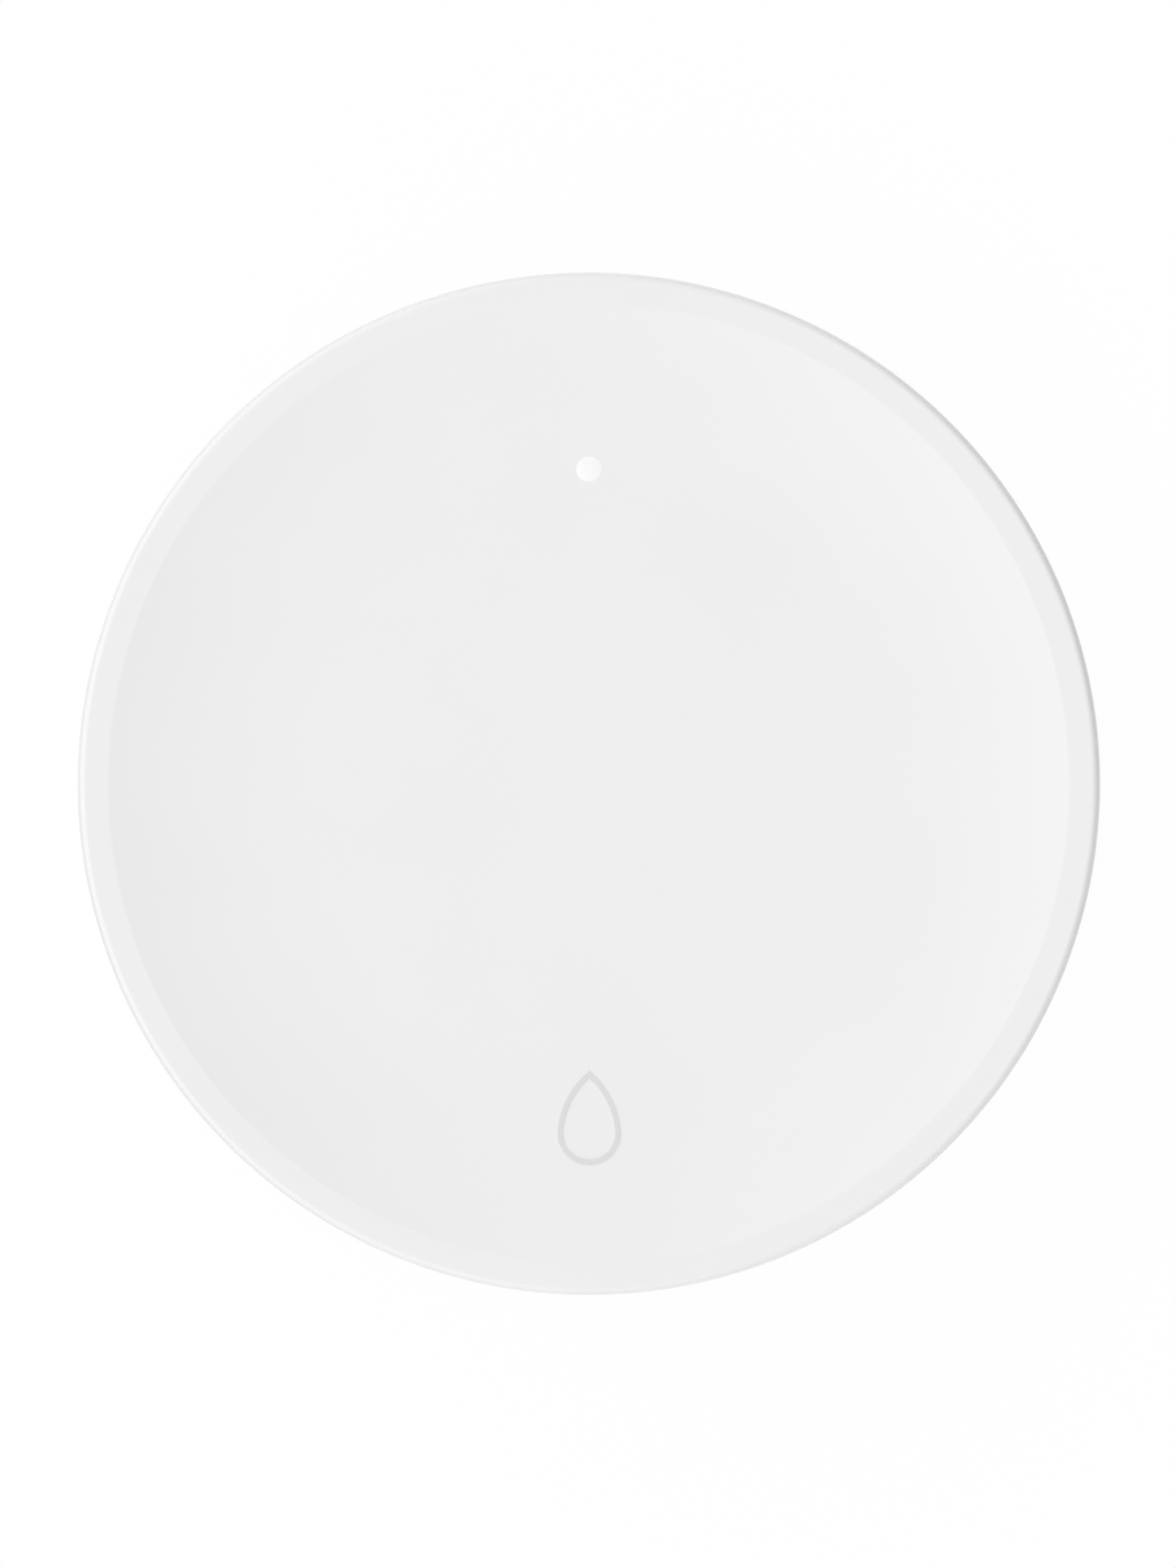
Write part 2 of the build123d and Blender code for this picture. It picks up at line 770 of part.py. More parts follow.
def board_screws():
    """The screws that hold the board to its posts."""
    screws = []
    for angle in spaced(post_count, post_first_angle):
        head_top = board_top + screw_head_height
        head = disc(screw_head_diameter / 2, board_top, head_top)
        head = fillet(head.edges().group_by(Axis.Z)[-1], screw_head_height / 2)
        shank_low = board_bottom - screw_depth + thread_gap
        shank = disc(screw_shank_diameter / 2, shank_low, board_top + screw_head_height / 4)
        low = head_top - screw_recess_depth
        recess = cross_recess(screw_recess_length, screw_recess_width, low, head_top + overrun)
        screws.append(around(bay_radius, angle) * (head + shank - recess))
    return Compound(children=screws)


def probe_screw(x):
    """A stainless screw whose head is a water contact."""
    face = foot_height - probe_proud
    head_top = face + probe_head_height
    head = disc(probe_head_diameter / 2, face, head_top)
    head = fillet(head.edges().group_by(Axis.Z)[0], probe_head_edge)
    shank = disc(probe_shank_diameter / 2, face + probe_head_height / 2, head_top + probe_shank_length)
    shank = chamfer(shank.edges().group_by(Axis.Z)[-1], probe_shank_diameter / 8)
    recess = cross_recess(probe_slot_length, probe_slot_width, face - overrun, face + probe_slot_depth)
    return Pos(x, 0, 0) * (head + shank - recess)


def probe_seal(x):
    """The small round cord seal under a probe's head."""
    middle = probe_recess_top() - seal_gap - probe_seal_cord / 2
    return Pos(x, 0, middle) * Torus(probe_seal_diameter / 2, probe_seal_cord / 2)


def probe_standoff(x):
    """The threaded brass standoff that takes a probe's screw and is soldered in the board."""
    low = probe_boss_top()
    body = disc(standoff_diameter / 2, low, board_bottom)
    pin = disc(standoff_pin_diameter / 2, low, board_top + standoff_pin_rise)
    bore = disc(probe_shank_diameter / 2 + thread_gap, low - overrun, board_top + overrun)
    return Pos(x, 0, 0) * (body + pin - bore)


def radio_chip():
    """The radio and processor chip."""
    x_share, y_share = chip_place_share
    chip = block(chip_side, chip_side, board_top, board_top + chip_height)
    chip = chamfer(chip.edges().group_by(Axis.Z)[-1], chip_edge)
    return Pos(board_radius * x_share, board_radius * y_share, 0) * chip


def crystal():
    """The clock crystal in its metal can."""
    x_share, y_share = crystal_place_share
    can = block(crystal_length, crystal_width, board_top, board_top + crystal_height)
    can = fillet(can.edges().filter_by(Axis.Z), crystal_corner)
    return Pos(board_radius * x_share, board_radius * y_share, 0) * can


def chip_antenna():
    """The ceramic antenna near the edge of the board."""
    radius = board_radius - antenna_edge_gap - antenna_width / 2
    body = block(antenna_width, antenna_length, board_top, board_top + antenna_height)
    return around(radius, antenna_angle) * body


def chip_components():
    """The small resistors and capacitors, in rows."""
    pieces = []
    for x_share, y_share in small_rows_share:
        for index in range(small_count):
            x = board_radius * x_share + index * small_pitch
            body = block(small_width, small_length, board_top, board_top + small_height)
            pieces.append(Pos(x, board_radius * y_share, 0) * body)
    return Compound(children=pieces)


def test_pads():
    """A row of gilt test pads."""
    x_share, y_share = test_pad_row_share
    pieces = []
    for index in range(test_pad_count):
        x = board_radius * x_share + index * test_pad_pitch
        pad = disc(test_pad_diameter / 2, board_top, board_top + test_pad_height)
        pieces.append(Pos(x, board_radius * y_share, 0) * pad)
    return Compound(children=pieces)


parts = {
    "top_cover": top_cover(),
    "base_shell": base_shell(),
    "shell_seal": shell_seal(),
    "light_pipe": light_pipe(),
    "status_led": status_led(),
    "button_pad": button_pad(),
    "button_web": button_web(),
    "droplet_mark": droplet_mark(),
    "switch_stem": switch_stem(),
    "tact_switch_body": tact_switch_body(),
    "switch_cover_plate": switch_cover_plate(),
    "switch_dome": switch_dome(),
    "circuit_board": circuit_board(),
    "board_screws": board_screws(),
    "radio_chip": radio_chip(),
    "crystal": crystal(),
    "chip_antenna": chip_antenna(),
    "chip_components": chip_components(),
    "test_pads": test_pads(),
    "cell_holder": cell_holder(),
    "positive_contact": positive_contact(),
    "negative_contact": negative_contact(),
    "coin_cell_can": coin_cell_can(),
    "coin_cell_gasket": coin_cell_gasket(),
    "coin_cell_cap": coin_cell_cap(),
    "coin_cell_stack": coin_cell_stack(),
    "cell_pad": cell_pad(),
    "battery_cover": battery_cover(),
    "cover_seal_ring": cover_seal_ring(),
}
for side, x in (("left", -bay_radius), ("right", bay_radius)):
    parts[f"probe_screw_{side}"] = probe_screw(x)
    parts[f"probe_seal_{side}"] = probe_seal(x)
    parts[f"probe_standoff_{side}"] = probe_standoff(x)

os.makedirs("parts", exist_ok=True)
for name, shape in parts.items():
    export_step(shape, f"parts/{name}.step")
print("case diameter", round(2 * case_radius, 3), "height", round(case_height, 3))
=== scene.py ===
"""Water leak sensor: the finished look of its shells, press spot, lamp, probes, cell and battery cover."""

from math import acos, asin, atan, cos, degrees, hypot, pi, radians, sin, tau

import bmesh
import bpy
from mathutils import Matrix, Vector


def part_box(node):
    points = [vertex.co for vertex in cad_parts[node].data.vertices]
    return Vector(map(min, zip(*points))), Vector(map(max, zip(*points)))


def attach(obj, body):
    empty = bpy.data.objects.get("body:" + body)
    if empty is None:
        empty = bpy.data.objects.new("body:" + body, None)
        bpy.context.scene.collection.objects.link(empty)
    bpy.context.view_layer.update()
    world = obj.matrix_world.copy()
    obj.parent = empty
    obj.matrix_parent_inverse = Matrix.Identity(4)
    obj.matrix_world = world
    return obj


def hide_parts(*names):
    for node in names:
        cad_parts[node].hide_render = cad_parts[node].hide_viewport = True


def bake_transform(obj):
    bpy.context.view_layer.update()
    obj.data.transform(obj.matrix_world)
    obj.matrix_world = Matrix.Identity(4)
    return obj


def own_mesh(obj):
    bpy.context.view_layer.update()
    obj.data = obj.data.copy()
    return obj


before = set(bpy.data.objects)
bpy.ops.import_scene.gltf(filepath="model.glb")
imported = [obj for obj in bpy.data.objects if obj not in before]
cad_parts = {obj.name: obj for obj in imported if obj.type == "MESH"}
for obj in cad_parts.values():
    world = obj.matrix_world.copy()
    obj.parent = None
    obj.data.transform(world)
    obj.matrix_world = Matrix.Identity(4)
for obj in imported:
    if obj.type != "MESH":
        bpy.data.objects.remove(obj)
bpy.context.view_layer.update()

# Pieces are worked in millimetres and brought to metres when they are finished.
MM = 0.001

# How far cutters run past a face, how close points lie that merge, and how flat an edge is that dissolves
OVERRUN = 1.0
POINT_MERGE = 0.0001
CUT_MERGE = 0.0005
FLAT_ANGLE = 0.5

# Steps of whole turns, of the walls between two angles, and of domes and rounded edges
STEPS = 256
SMALL_STEPS = 96
DOT_STEPS = 48
PILOT_STEPS = 32
WALL_STEPS = 12
BASE_EDGE_STEPS = 16
RIM_EDGE_STEPS = 8
LAMP_DOME_STEPS = 8
EDGE_STEPS = 6
LID_EDGE_STEPS = 5
SMALL_EDGE_STEPS = 4
PIPE_EDGE_STEPS = 3


def node_box(name):
    """A node's lowest and highest corners in millimetres."""
    low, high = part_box(name)
    return Vector(low) / MM, Vector(high) / MM


# Sizes read from the frame
cover_low, cover_high = node_box("top_cover")
base_low, base_high = node_box("base_shell")
lid_low, lid_high = node_box("battery_cover")
pad_low, pad_high = node_box("button_pad")
web_low, web_high = node_box("button_web")
pipe_low, pipe_high = node_box("light_pipe")
probe_low, probe_high = node_box("probe_screw_right")
standoff_low, standoff_high = node_box("probe_standoff_right")
can_low, can_high = node_box("coin_cell_can")
cap_low, cap_high = node_box("coin_cell_cap")
CASE_RADIUS = cover_high.x
CASE_HEIGHT = cover_high.z
PARTING_HEIGHT = cover_low.z
BASE_RADIUS = base_high.x
LAMP_Y = (pipe_low.y + pipe_high.y) / 2
PRESS_Y = (pad_low.y + pad_high.y) / 2
PAD_RADIUS = (pad_high.x - pad_low.x) / 2
WEB_RADIUS = (web_high.x - web_low.x) / 2
PROBE_X = (probe_low.x + probe_high.x) / 2
PROBE_HEAD_RADIUS = (probe_high.x - probe_low.x) / 2
PROBE_FACE = probe_low.z
PROBE_END = probe_high.z
PROBE_SIDES = (("left", -PROBE_X), ("right", PROBE_X))
LID_RADIUS = lid_high.x
LID_FACE = lid_low.z
LID_LUG_TOP = lid_high.z
CELL_RADIUS = can_high.x
BOARD_LOW = node_box("circuit_board")[0].z

# Top cover
TOP_WALL = 1.5
COVER_INNER = 23.5
RIM_WIDTH = 1.49
RIM_EDGE = 0.28
DISH_DEPTH = 0.66
DISH_FLAT_RADIUS = 13.8
DISH_POWER = 2.4
COVER_DRAFT = 0.5
LIP_EDGE = 0.12
CORNER_LEG = 0.8
DISH_RINGS = 32
UNDER_STRIDE = 4
EDGE_LOOP = 0.03
RIM_INNER = CASE_RADIUS - RIM_WIDTH
DISH_RUN = RIM_INNER - DISH_FLAT_RADIUS
DISH_FLOOR = CASE_HEIGHT - DISH_DEPTH
TOP_RADIUS = CASE_RADIUS - (CASE_HEIGHT - PARTING_HEIGHT) * sin(radians(COVER_DRAFT))

# Press spot and its printed drop
WEB_THICKNESS = 0.7
WEB_WEDGES = 16
WEDGE_STEPS = 12
PRESS_RINGS = 6
PLUNGER_RADIUS = 1.1
DROP_ROUND = 1.54
DROP_TIP = 3.04
DROP_RISE = 5
DROP_LINE = 0.25
DROP_STEPS = 36
INK_THICKNESS = 0.03

# Lamp
PIPE_TIP_RADIUS = 0.6
PIPE_FLANGE_RADIUS = 1.3
PIPE_FLANGE_TOP = 12.3
PIPE_GAP = 0.02
PIPE_EDGE = 0.06
PIPE_CROWN = 0.04
BOSS_RADIUS = 2.2
BOSS_LENGTH = 1.3
BOSS_LOW = DISH_FLOOR - TOP_WALL - BOSS_LENGTH

# Base shell
FOOT_HEIGHT = 0.6
BASE_EDGE = 2.1
REVEAL_HEIGHT = 0.35
REVEAL_DEPTH = 0.5
REVEAL_EDGE = 0.1
SPIGOT_OUTER = 23.3
SPIGOT_INNER = 21.9
SPIGOT_TOP = 7.2
SEAL_GROOVE_FLOOR = 22.55
SEAL_GROOVE_LOW = 5.2
SEAL_GROOVE_HIGH = 6.25
FLOOR_TOP = 2.4
LEDGE_RADIUS = 16.8
LEDGE_TOP = 3.85
LEDGE_LOW = 2.6
RECESS_RADIUS = 15.45
RECESS_EDGE = 0.15
THROAT_RADIUS = 12.05
NOTCH_RADIUS = 12.9
NOTCH_END = 82
RAMP_END = 22
LUG_COUNT = 3
LUG_ANGLE = 26
LUG_RADIUS = 12.7
LUG_RAMP_GAP = 0.1
OPENING_ANGLE = 90
OPENING_TRAVEL = 4.5
HOOK_COUNT = 4
HOOK_FIRST = 22.5
HOOK_ANGLE = 16
HOOK_TOP = 9.1
HOOK_LOW = 8.3
HOOK_REACH = 0.5
POCKET_ANGLE = 18
POCKET_LOW = 8.25
POCKET_HIGH = 9.25
POCKET_RADIUS = 23.95
POST_COUNT = 4
POST_FIRST = 45
POST_RADIUS = 2.0
POST_EDGE = 0.1
PILOT_RADIUS = 0.77
PILOT_DEPTH = 3.4
FOOT_COUNT = 3
FOOT_FIRST = 90
FOOT_INNER = 19.8
FOOT_OUTER = 21.4
FOOT_ANGLE = 24
FOOT_EDGE = 0.2
MARK_RADIUS = 0.45
MARK_DEPTH = 0.2
MARK_ANGLE = 60

# Probes
PROBE_HEAD_HEIGHT = 1.0
PROBE_HEAD_EDGE = 0.25
PROBE_SHANK_RADIUS = 1.25
PROBE_BOSS_RADIUS = 3.0
PROBE_BOSS_TOP = 3.2
PROBE_RECESS_RADIUS = 2.8
PROBE_RECESS_TOP = 1.9
PROBE_BORE_RADIUS = 1.35
CROSS_MOUTH = (1.4, 0.36)
CROSS_END = (0.8, 0.24)
CROSS_DEPTH = 0.6
THREAD_PITCH = 0.45
THREAD_DEPTH = 0.14
THREAD_START = 2.6
STANDOFF_BODY_RADIUS = 2.2
STANDOFF_PIN_RADIUS = 1.6
STANDOFF_BORE_RADIUS = 1.27
STANDOFF_EDGE = 0.15

# Battery cover
FLANGE_TOP = 2.5
LID_SPIGOT_OUTER = 11.8
LID_SPIGOT_INNER = 10.6
LID_PLATE_TOP = 2.75
LID_EDGE = 0.3
GROOVE_INNER = 13.4
GROOVE_OUTER = 14.6
GROOVE_LOW = 1.46
SLOT_LENGTH = 13.0
SLOT_WIDTH = 2.0
SLOT_DEPTH = 1.2
SLOT_EDGE = 0.15
SLOT_END_STEPS = 16
LID_MARK_PLACE = 12.9
ARROW_WIDTH = 0.5
ARROW_HEAD_WIDTH = 1.5
ARROW_HEAD_ANGLE = 7
ARROW_START = 48
ARROW_END = 22
ARROW_DEPTH = 0.25
ARROW_STEPS = 16

# Cord seals, each with the radius of its middle, its height and its cord
SEAL_STEPS = 20
COVER_SEAL = (14.0, 2.03, 1.1)
SHELL_SEAL = (23.02, 5.725, 0.9)
PROBE_SEAL = (1.8, 1.55, 0.66)

# Coin cell
CELL_METAL = 0.25
CELL_EDGE = 0.25
GASKET_OUTER = 9.73
GASKET_INNER = 9.18
GASKET_TOP = 6.3
CELL_GAP = 0.02
PLUS_ARM = 1.6
PLUS_HALF_WIDTH = 0.28
PLUS_DEPTH = 0.04

# What a noise's values nearly all lie between, and how far a wave texture turns for one unit of its scale
NOISE_LOW = 0.35
NOISE_HIGH = 0.65
WAVE_RADIANS = 20

# The board's copper tracks, the noise that gives them fields, and its plated holes as shares of their pitch
TRACK_WIDTH = 0.15
TRACK_PITCH = 0.6
TRACK_RUN = 5.3
TRACK_THICKNESS = 0.02
ACROSS_FIELD = 9.0
ACROSS_LEVEL = 0.49
ALONG_FIELD = 6.0
ALONG_LEVEL = 0.52
FIELD_BLEND = 0.01
HOLE_PITCH = 2.9
COLLAR_SHARE = 0.09
BORE_SHARE = 0.05
SOFT_SHARE = 0.005

# The photograph's frame in pixels, and the camera, the light and the floor in metres and degrees
PHOTO_HEIGHT_PX = 1600
PHOTO_WIDTH_PX = 1200
OUTLINE_X_PX = 600.9
OUTLINE_Y_PX = 799.8
OUTLINE_RADIUS_PX = 521.5
CAMERA_HEIGHT = 0.4
KEY_AZIMUTH = 110
KEY_ELEVATION = 35
KEY_DISTANCE = 2.4
KEY_SIZE = 1.4
KEY_SHARE = 0.04
TENT_AZIMUTH = 198
TENT_LEFT = 0.555
TENT_MIDDLE = 0.945
TENT_RIGHT = 0
TENT_LOW = 2.5
TENT_UNDER = 0.3
TENT_EDGE = 0.05
FLOOR_SIZE = 6.0
FLOOR_GAP = 0.00005
FLOOR_SHIFT = (0.9, 0.5)
FLOOR_SHADOW_SHARE = 0.04
FLOOR_LIGHT = "#C2C2C2"


def dish_height(radius):
    """How high the top surface lies at a radius."""
    if radius >= RIM_INNER:
        return CASE_HEIGHT
    past = max(radius - DISH_FLAT_RADIUS, 0) / DISH_RUN
    return DISH_FLOOR + DISH_DEPTH * past**DISH_POWER


def arc(centre, radius, start, end, count):
    """Points along an arc, between two angles in degrees."""
    angles = [radians(start + (end - start) * index / count) for index in range(count + 1)]
    return [(centre[0] + radius * cos(angle), centre[1] + radius * sin(angle)) for angle in angles]


def spaced(count, first):
    """Equal angles round the circle, in degrees."""
    return [first + index * 360 / count for index in range(count)]


def radii_between(inner, outer, count):
    """Evenly spaced radii."""
    return [inner + (outer - inner) * index / count for index in range(count + 1)]


def tidy_form(bm):
    """Merges doubled points and turns the faces outwards."""
    bmesh.ops.remove_doubles(bm, verts=bm.verts, dist=POINT_MERGE)
    bmesh.ops.recalc_face_normals(bm, faces=bm.faces)
    return bm


def profile(bm, outline, closed):
    """A chain of edges through points of radius and height."""
    verts = [bm.verts.new((radius, 0, height)) for radius, height in outline]
    edges = [bm.edges.new(pair) for pair in zip(verts, verts[1:])]
    if closed:
        edges.append(bm.edges.new((verts[-1], verts[0])))
    return verts, edges


def lathe(outline, steps=STEPS, closed=False):
    """Spins an outline round the upright axis. An outline that isn't closed starts and ends on the axis."""
    bm = bmesh.new()
    verts, edges = profile(bm, outline, closed)
    bmesh.ops.spin(
        bm, geom=verts + edges, cent=(0, 0, 0), axis=(0, 0, 1), angle=tau, steps=steps, use_merge=True
    )
    return tidy_form(bm)


def wedge(outline, start, sweep, steps):
    """Spins a closed outline through part of a turn and closes both ends."""
    bm = bmesh.new()
    verts, edges = profile(bm, outline, True)
    bmesh.ops.rotate(bm, verts=verts, matrix=Matrix.Rotation(radians(start), 3, "Z"))
    bmesh.ops.spin(
        bm, geom=verts + edges, cent=(0, 0, 0), axis=(0, 0, 1), angle=radians(sweep), steps=steps
    )
    bmesh.ops.holes_fill(bm, edges=bm.edges)
    return tidy_form(bm)


def block_wedge(inner, outer, low, high, start, end):
    """A piece of a round wall between two radii, heights and angles."""
    outline = [(inner, low), (outer, low), (outer, high), (inner, high)]
    return wedge(outline, start, end - start, WALL_STEPS)


def lofted(levels, ring=False):
    """A closed form through outlines with equal counts of points. A ring closes on its first outline."""
    bm = bmesh.new()
    loops = []
    for points, height in levels:
        verts = [bm.verts.new((x, y, height)) for x, y in points]
        loops.append([bm.edges.new(pair) for pair in zip(verts, verts[1:] + verts[:1])])
    for lower, upper in zip(loops, loops[1:] + loops[:1] if ring else loops[1:]):
        bmesh.ops.bridge_loops(bm, edges=lower + upper)
    if not ring:
        bmesh.ops.holes_fill(bm, edges=bm.edges)
    return tidy_form(bm)


def placed(bm, x=0, y=0, turn=0):
    """Moves a form sideways, then turns it about the upright axis."""
    bmesh.ops.translate(bm, verts=bm.verts, vec=(x, y, 0))
    bmesh.ops.rotate(bm, verts=bm.verts, matrix=Matrix.Rotation(radians(turn), 3, "Z"))
    return bm


def rod(radius, low, high, steps=SMALL_STEPS):
    """A plain round bar, used to cut or to fill."""
    return lathe([(0, low), (radius, low), (radius, high), (0, high)], steps)


def eased(bm, width, angle=35, segments=3):
    """Rounds a form's sharp edges."""
    limit = radians(angle)
    sharp = [edge for edge in bm.edges if edge.is_manifold and edge.calc_face_angle() > limit]
    bmesh.ops.bevel(
        bm, geom=sharp, offset=width, offset_type="OFFSET", segments=segments, profile=0.5,
        affect="EDGES", clamp_overlap=True, material=-1,
    )
    return bm


def together(forms):
    """Several forms as one."""
    whole = bmesh.new()
    for form in forms:
        mesh = bpy.data.meshes.new("form")
        form.to_mesh(mesh)
        form.free()
        whole.from_mesh(mesh)
        bpy.data.meshes.remove(mesh)
    return whole


def working(name, bm):
    """A new object in the scene, with a form as its mesh."""
    mesh = bpy.data.meshes.new(name)
    bm.to_mesh(mesh)
    bm.free()
    obj = bpy.data.objects.new(name, mesh)
    bpy.context.scene.collection.objects.link(obj)
    return obj


def settled(obj):
    """Puts what an object's modifiers give into its mesh."""
    bpy.context.view_layer.update()
    graph = bpy.context.evaluated_depsgraph_get()
    mesh = bpy.data.meshes.new_from_object(obj.evaluated_get(graph))
    old = obj.data
    obj.modifiers.clear()
    obj.data = mesh
    bpy.data.meshes.remove(old)
    return obj


def combined(obj, forms, operation):
    """Cuts forms out of an object, or joins them to it, and merges points that this leaves almost in one."""
    tool = working("tool", together(forms))
    modifier = obj.modifiers.new("form", "BOOLEAN")
    modifier.operation = operation
    modifier.solver = "EXACT"
    modifier.object = tool
    settled(obj)
    bpy.data.objects.remove(tool)
    bm = bmesh.new()
    bm.from_mesh(obj.data)
    bmesh.ops.remove_doubles(bm, verts=bm.verts, dist=CUT_MERGE)
    bmesh.ops.dissolve_degenerate(bm, edges=bm.edges, dist=CUT_MERGE)
    bm.to_mesh(obj.data)
    bm.free()
    return obj


def cut(obj, forms):
    """Takes forms away from an object."""
    return combined(obj, forms, "DIFFERENCE")


def joined(obj, forms):
    """Adds forms to an object."""
    return combined(obj, forms, "UNION")


def finished(obj, material, nodes=(), body=None, sharp=40, weighted=True):
    """Brings a worked object to metres, shades it, and puts it on its body in place of its nodes."""
    obj.data.transform(Matrix.Scale(MM, 4))
    obj.data.materials.clear()
    obj.data.materials.append(material)
    obj.data.polygons.foreach_set("material_index", [0] * len(obj.data.polygons))
    obj.data.polygons.foreach_set("use_smooth", [True] * len(obj.data.polygons))
    obj.data.set_sharp_from_angle(angle=radians(sharp))
    if weighted:
        modifier = obj.modifiers.new("normals", "WEIGHTED_NORMAL")
        modifier.keep_sharp = True
        settled(obj)
    if nodes:
        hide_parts(*nodes)
    if body:
        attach(obj, body)
    return obj


def colour(hex_value):
    """An sRGB hex value as linear colour."""
    shares = [int(hex_value[place : place + 2], 16) / 255 for place in (1, 3, 5)]
    linear = [share / 12.92 if share <= 0.04045 else ((share + 0.055) / 1.055) ** 2.4 for share in shares]
    return (*linear, 1)


def per_metre(size_mm):
    """The scale of a pattern whose features are this many millimetres across."""
    return 1 / (size_mm * MM)


def add(tree, kind, inputs=None, **attributes):
    """Adds a shader node with its attributes. Each input is a node's output, a hex colour or a value."""
    made = tree.nodes.new(kind)
    for name, value in attributes.items():
        setattr(made, name, value)
    for socket, value in (inputs or {}).items():
        if isinstance(value, bpy.types.NodeSocket):
            tree.links.new(value, made.inputs[socket])
        else:
            made.inputs[socket].default_value = colour(value) if isinstance(value, str) else value
    return made


def blank_tree(owner):
    """The empty node tree of a new material or world."""
    owner.use_nodes = True
    owner.node_tree.nodes.clear()
    return owner.node_tree


def blank_material(name):
    """A new material, its node tree and its object coordinates."""
    material = bpy.data.materials.new(name)
    tree = blank_tree(material)
    return material, tree, add(tree, "ShaderNodeTexCoord").outputs["Object"]


def patches(tree, place, size_mm):
    """Soft patches of a real size: a noise whose middle, where nearly all of it lies, is spread out."""
    cloud = add(tree, "ShaderNodeTexNoise", {"Vector": place, "Scale": per_metre(size_mm)}).outputs["Fac"]
    spread = {"Value": cloud, "From Min": NOISE_LOW, "From Max": NOISE_HIGH}
    return add(tree, "ShaderNodeMapRange", spread).outputs["Result"]


def surfaced(tree, settings, tones, roughness, relief=None):
    """Ends a material with its shader. The tones are a share and the two colours that it mixes, the roughness
    is a share and two values, and the relief is a height and its full depth in millimetres."""
    mix = dict(zip((0, 6, 7), tones))
    rough = dict(zip(("Value", "To Min", "To Max"), roughness))
    inputs = {
        **settings,
        "Base Color": add(tree, "ShaderNodeMix", mix, data_type="RGBA").outputs[2],
        "Roughness": add(tree, "ShaderNodeMapRange", rough).outputs["Result"],
    }
    if relief:
        height, depth_mm = relief
        bump = {"Height": height, "Distance": depth_mm * MM, "Strength": 1.0}
        inputs["Normal"] = add(tree, "ShaderNodeBump", bump).outputs["Normal"]
    shader = add(tree, "ShaderNodeBsdfPrincipled", inputs)
    add(tree, "ShaderNodeOutputMaterial", {"Surface": shader.outputs["BSDF"]})


def satin_moulding(name, first, second, roughness, ior=1.54, drift_mm=9.0, grain_mm=0.08, depth_mm=0.0015):
    """Plastic moulded in a finely spark-eroded mould: an even satin face whose grain only shows close by. The
    grain is drawn a little coarser than the mould's, so that it shows there."""
    material, tree, place = blank_material(name)
    drift = patches(tree, place, drift_mm)
    grain = add(tree, "ShaderNodeTexNoise", {"Vector": place, "Scale": per_metre(grain_mm)}).outputs["Fac"]
    rough = (grain, roughness - 0.05, roughness + 0.05)
    surfaced(tree, {"IOR": ior}, (drift, first, second), rough, (grain, depth_mm))
    return material


def pad_print(name, first, second, blot_mm=0.15, grain_mm=0.06, depth_mm=0.0006):
    """Pad-printed ink: a flat pale layer, a little smoother than the plastic that it lies on."""
    material, tree, place = blank_material(name)
    blots = patches(tree, place, blot_mm)
    grain = add(tree, "ShaderNodeTexNoise", {"Vector": place, "Scale": per_metre(grain_mm)}).outputs["Fac"]
    surfaced(tree, {"IOR": 1.5}, (blots, first, second), (blots, 0.36, 0.44), (grain, depth_mm))
    return material


def opal_moulding_with_painted_glow(name, first, second, cloud_mm=0.4):
    """Opal acrylic, polished in the mould and milky all through. Its colour is also raised near white, above
    the shell's, as a painted glow for the light that the pipe gathers.
    """
    material, tree, place = blank_material(name)
    cloud = patches(tree, place, cloud_mm)
    surfaced(tree, {"IOR": 1.49}, (cloud, first, second), (cloud, 0.18, 0.24))
    return material


def turned_metal(name, first, second, centre_x, ring_mm, roughness, depth_mm=0.002):
    """Metal faced on a lathe: fine rings round the axis spread the light into two fans. The rings are drawn
    coarser than the tool's marks, so that they show."""
    material, tree, place = blank_material(name)
    shift = {"Vector": place, "Location": (-centre_x * MM, 0, 0)}
    centred = add(tree, "ShaderNodeMapping", shift).outputs["Vector"]
    wave = {"Vector": centred, "Scale": per_metre(ring_mm) * tau / WAVE_RADIANS, "Distortion": 0.3}
    rings = add(tree, "ShaderNodeTexWave", wave, wave_type="RINGS", rings_direction="Z").outputs["Fac"]
    rough = (rings, roughness - 0.05, roughness + 0.07)
    surfaced(tree, {"Metallic": 1.0}, (rings, first, second), rough, (rings, depth_mm))
    return material


def rolled_metal(name, first, second, roughness, line_mm=0.08, length_mm=2.0, depth_mm=0.001):
    """Rolled and plated sheet: long faint lines along the way that it was rolled."""
    material, tree, place = blank_material(name)
    stretch = {"Vector": place, "Scale": (1.0, line_mm / length_mm, 1.0)}
    lines = patches(tree, add(tree, "ShaderNodeMapping", stretch).outputs["Vector"], line_mm)
    rough = (lines, roughness - 0.05, roughness + 0.06)
    surfaced(tree, {"Metallic": 1.0}, (lines, first, second), rough, (lines, depth_mm))
    return material


def moulded_rubber(name, first, second, bloom_mm=0.9, grain_mm=0.07, depth_mm=0.0015):
    """Silicone rubber, moulded: matt, with soft highlights and a faint bloom."""
    material, tree, place = blank_material(name)
    bloom = patches(tree, place, bloom_mm)
    grain = add(tree, "ShaderNodeTexNoise", {"Vector": place, "Scale": per_metre(grain_mm)}).outputs["Fac"]
    surfaced(tree, {"IOR": 1.41}, (bloom, first, second), (bloom, 0.5, 0.62), (grain, depth_mm))
    return material


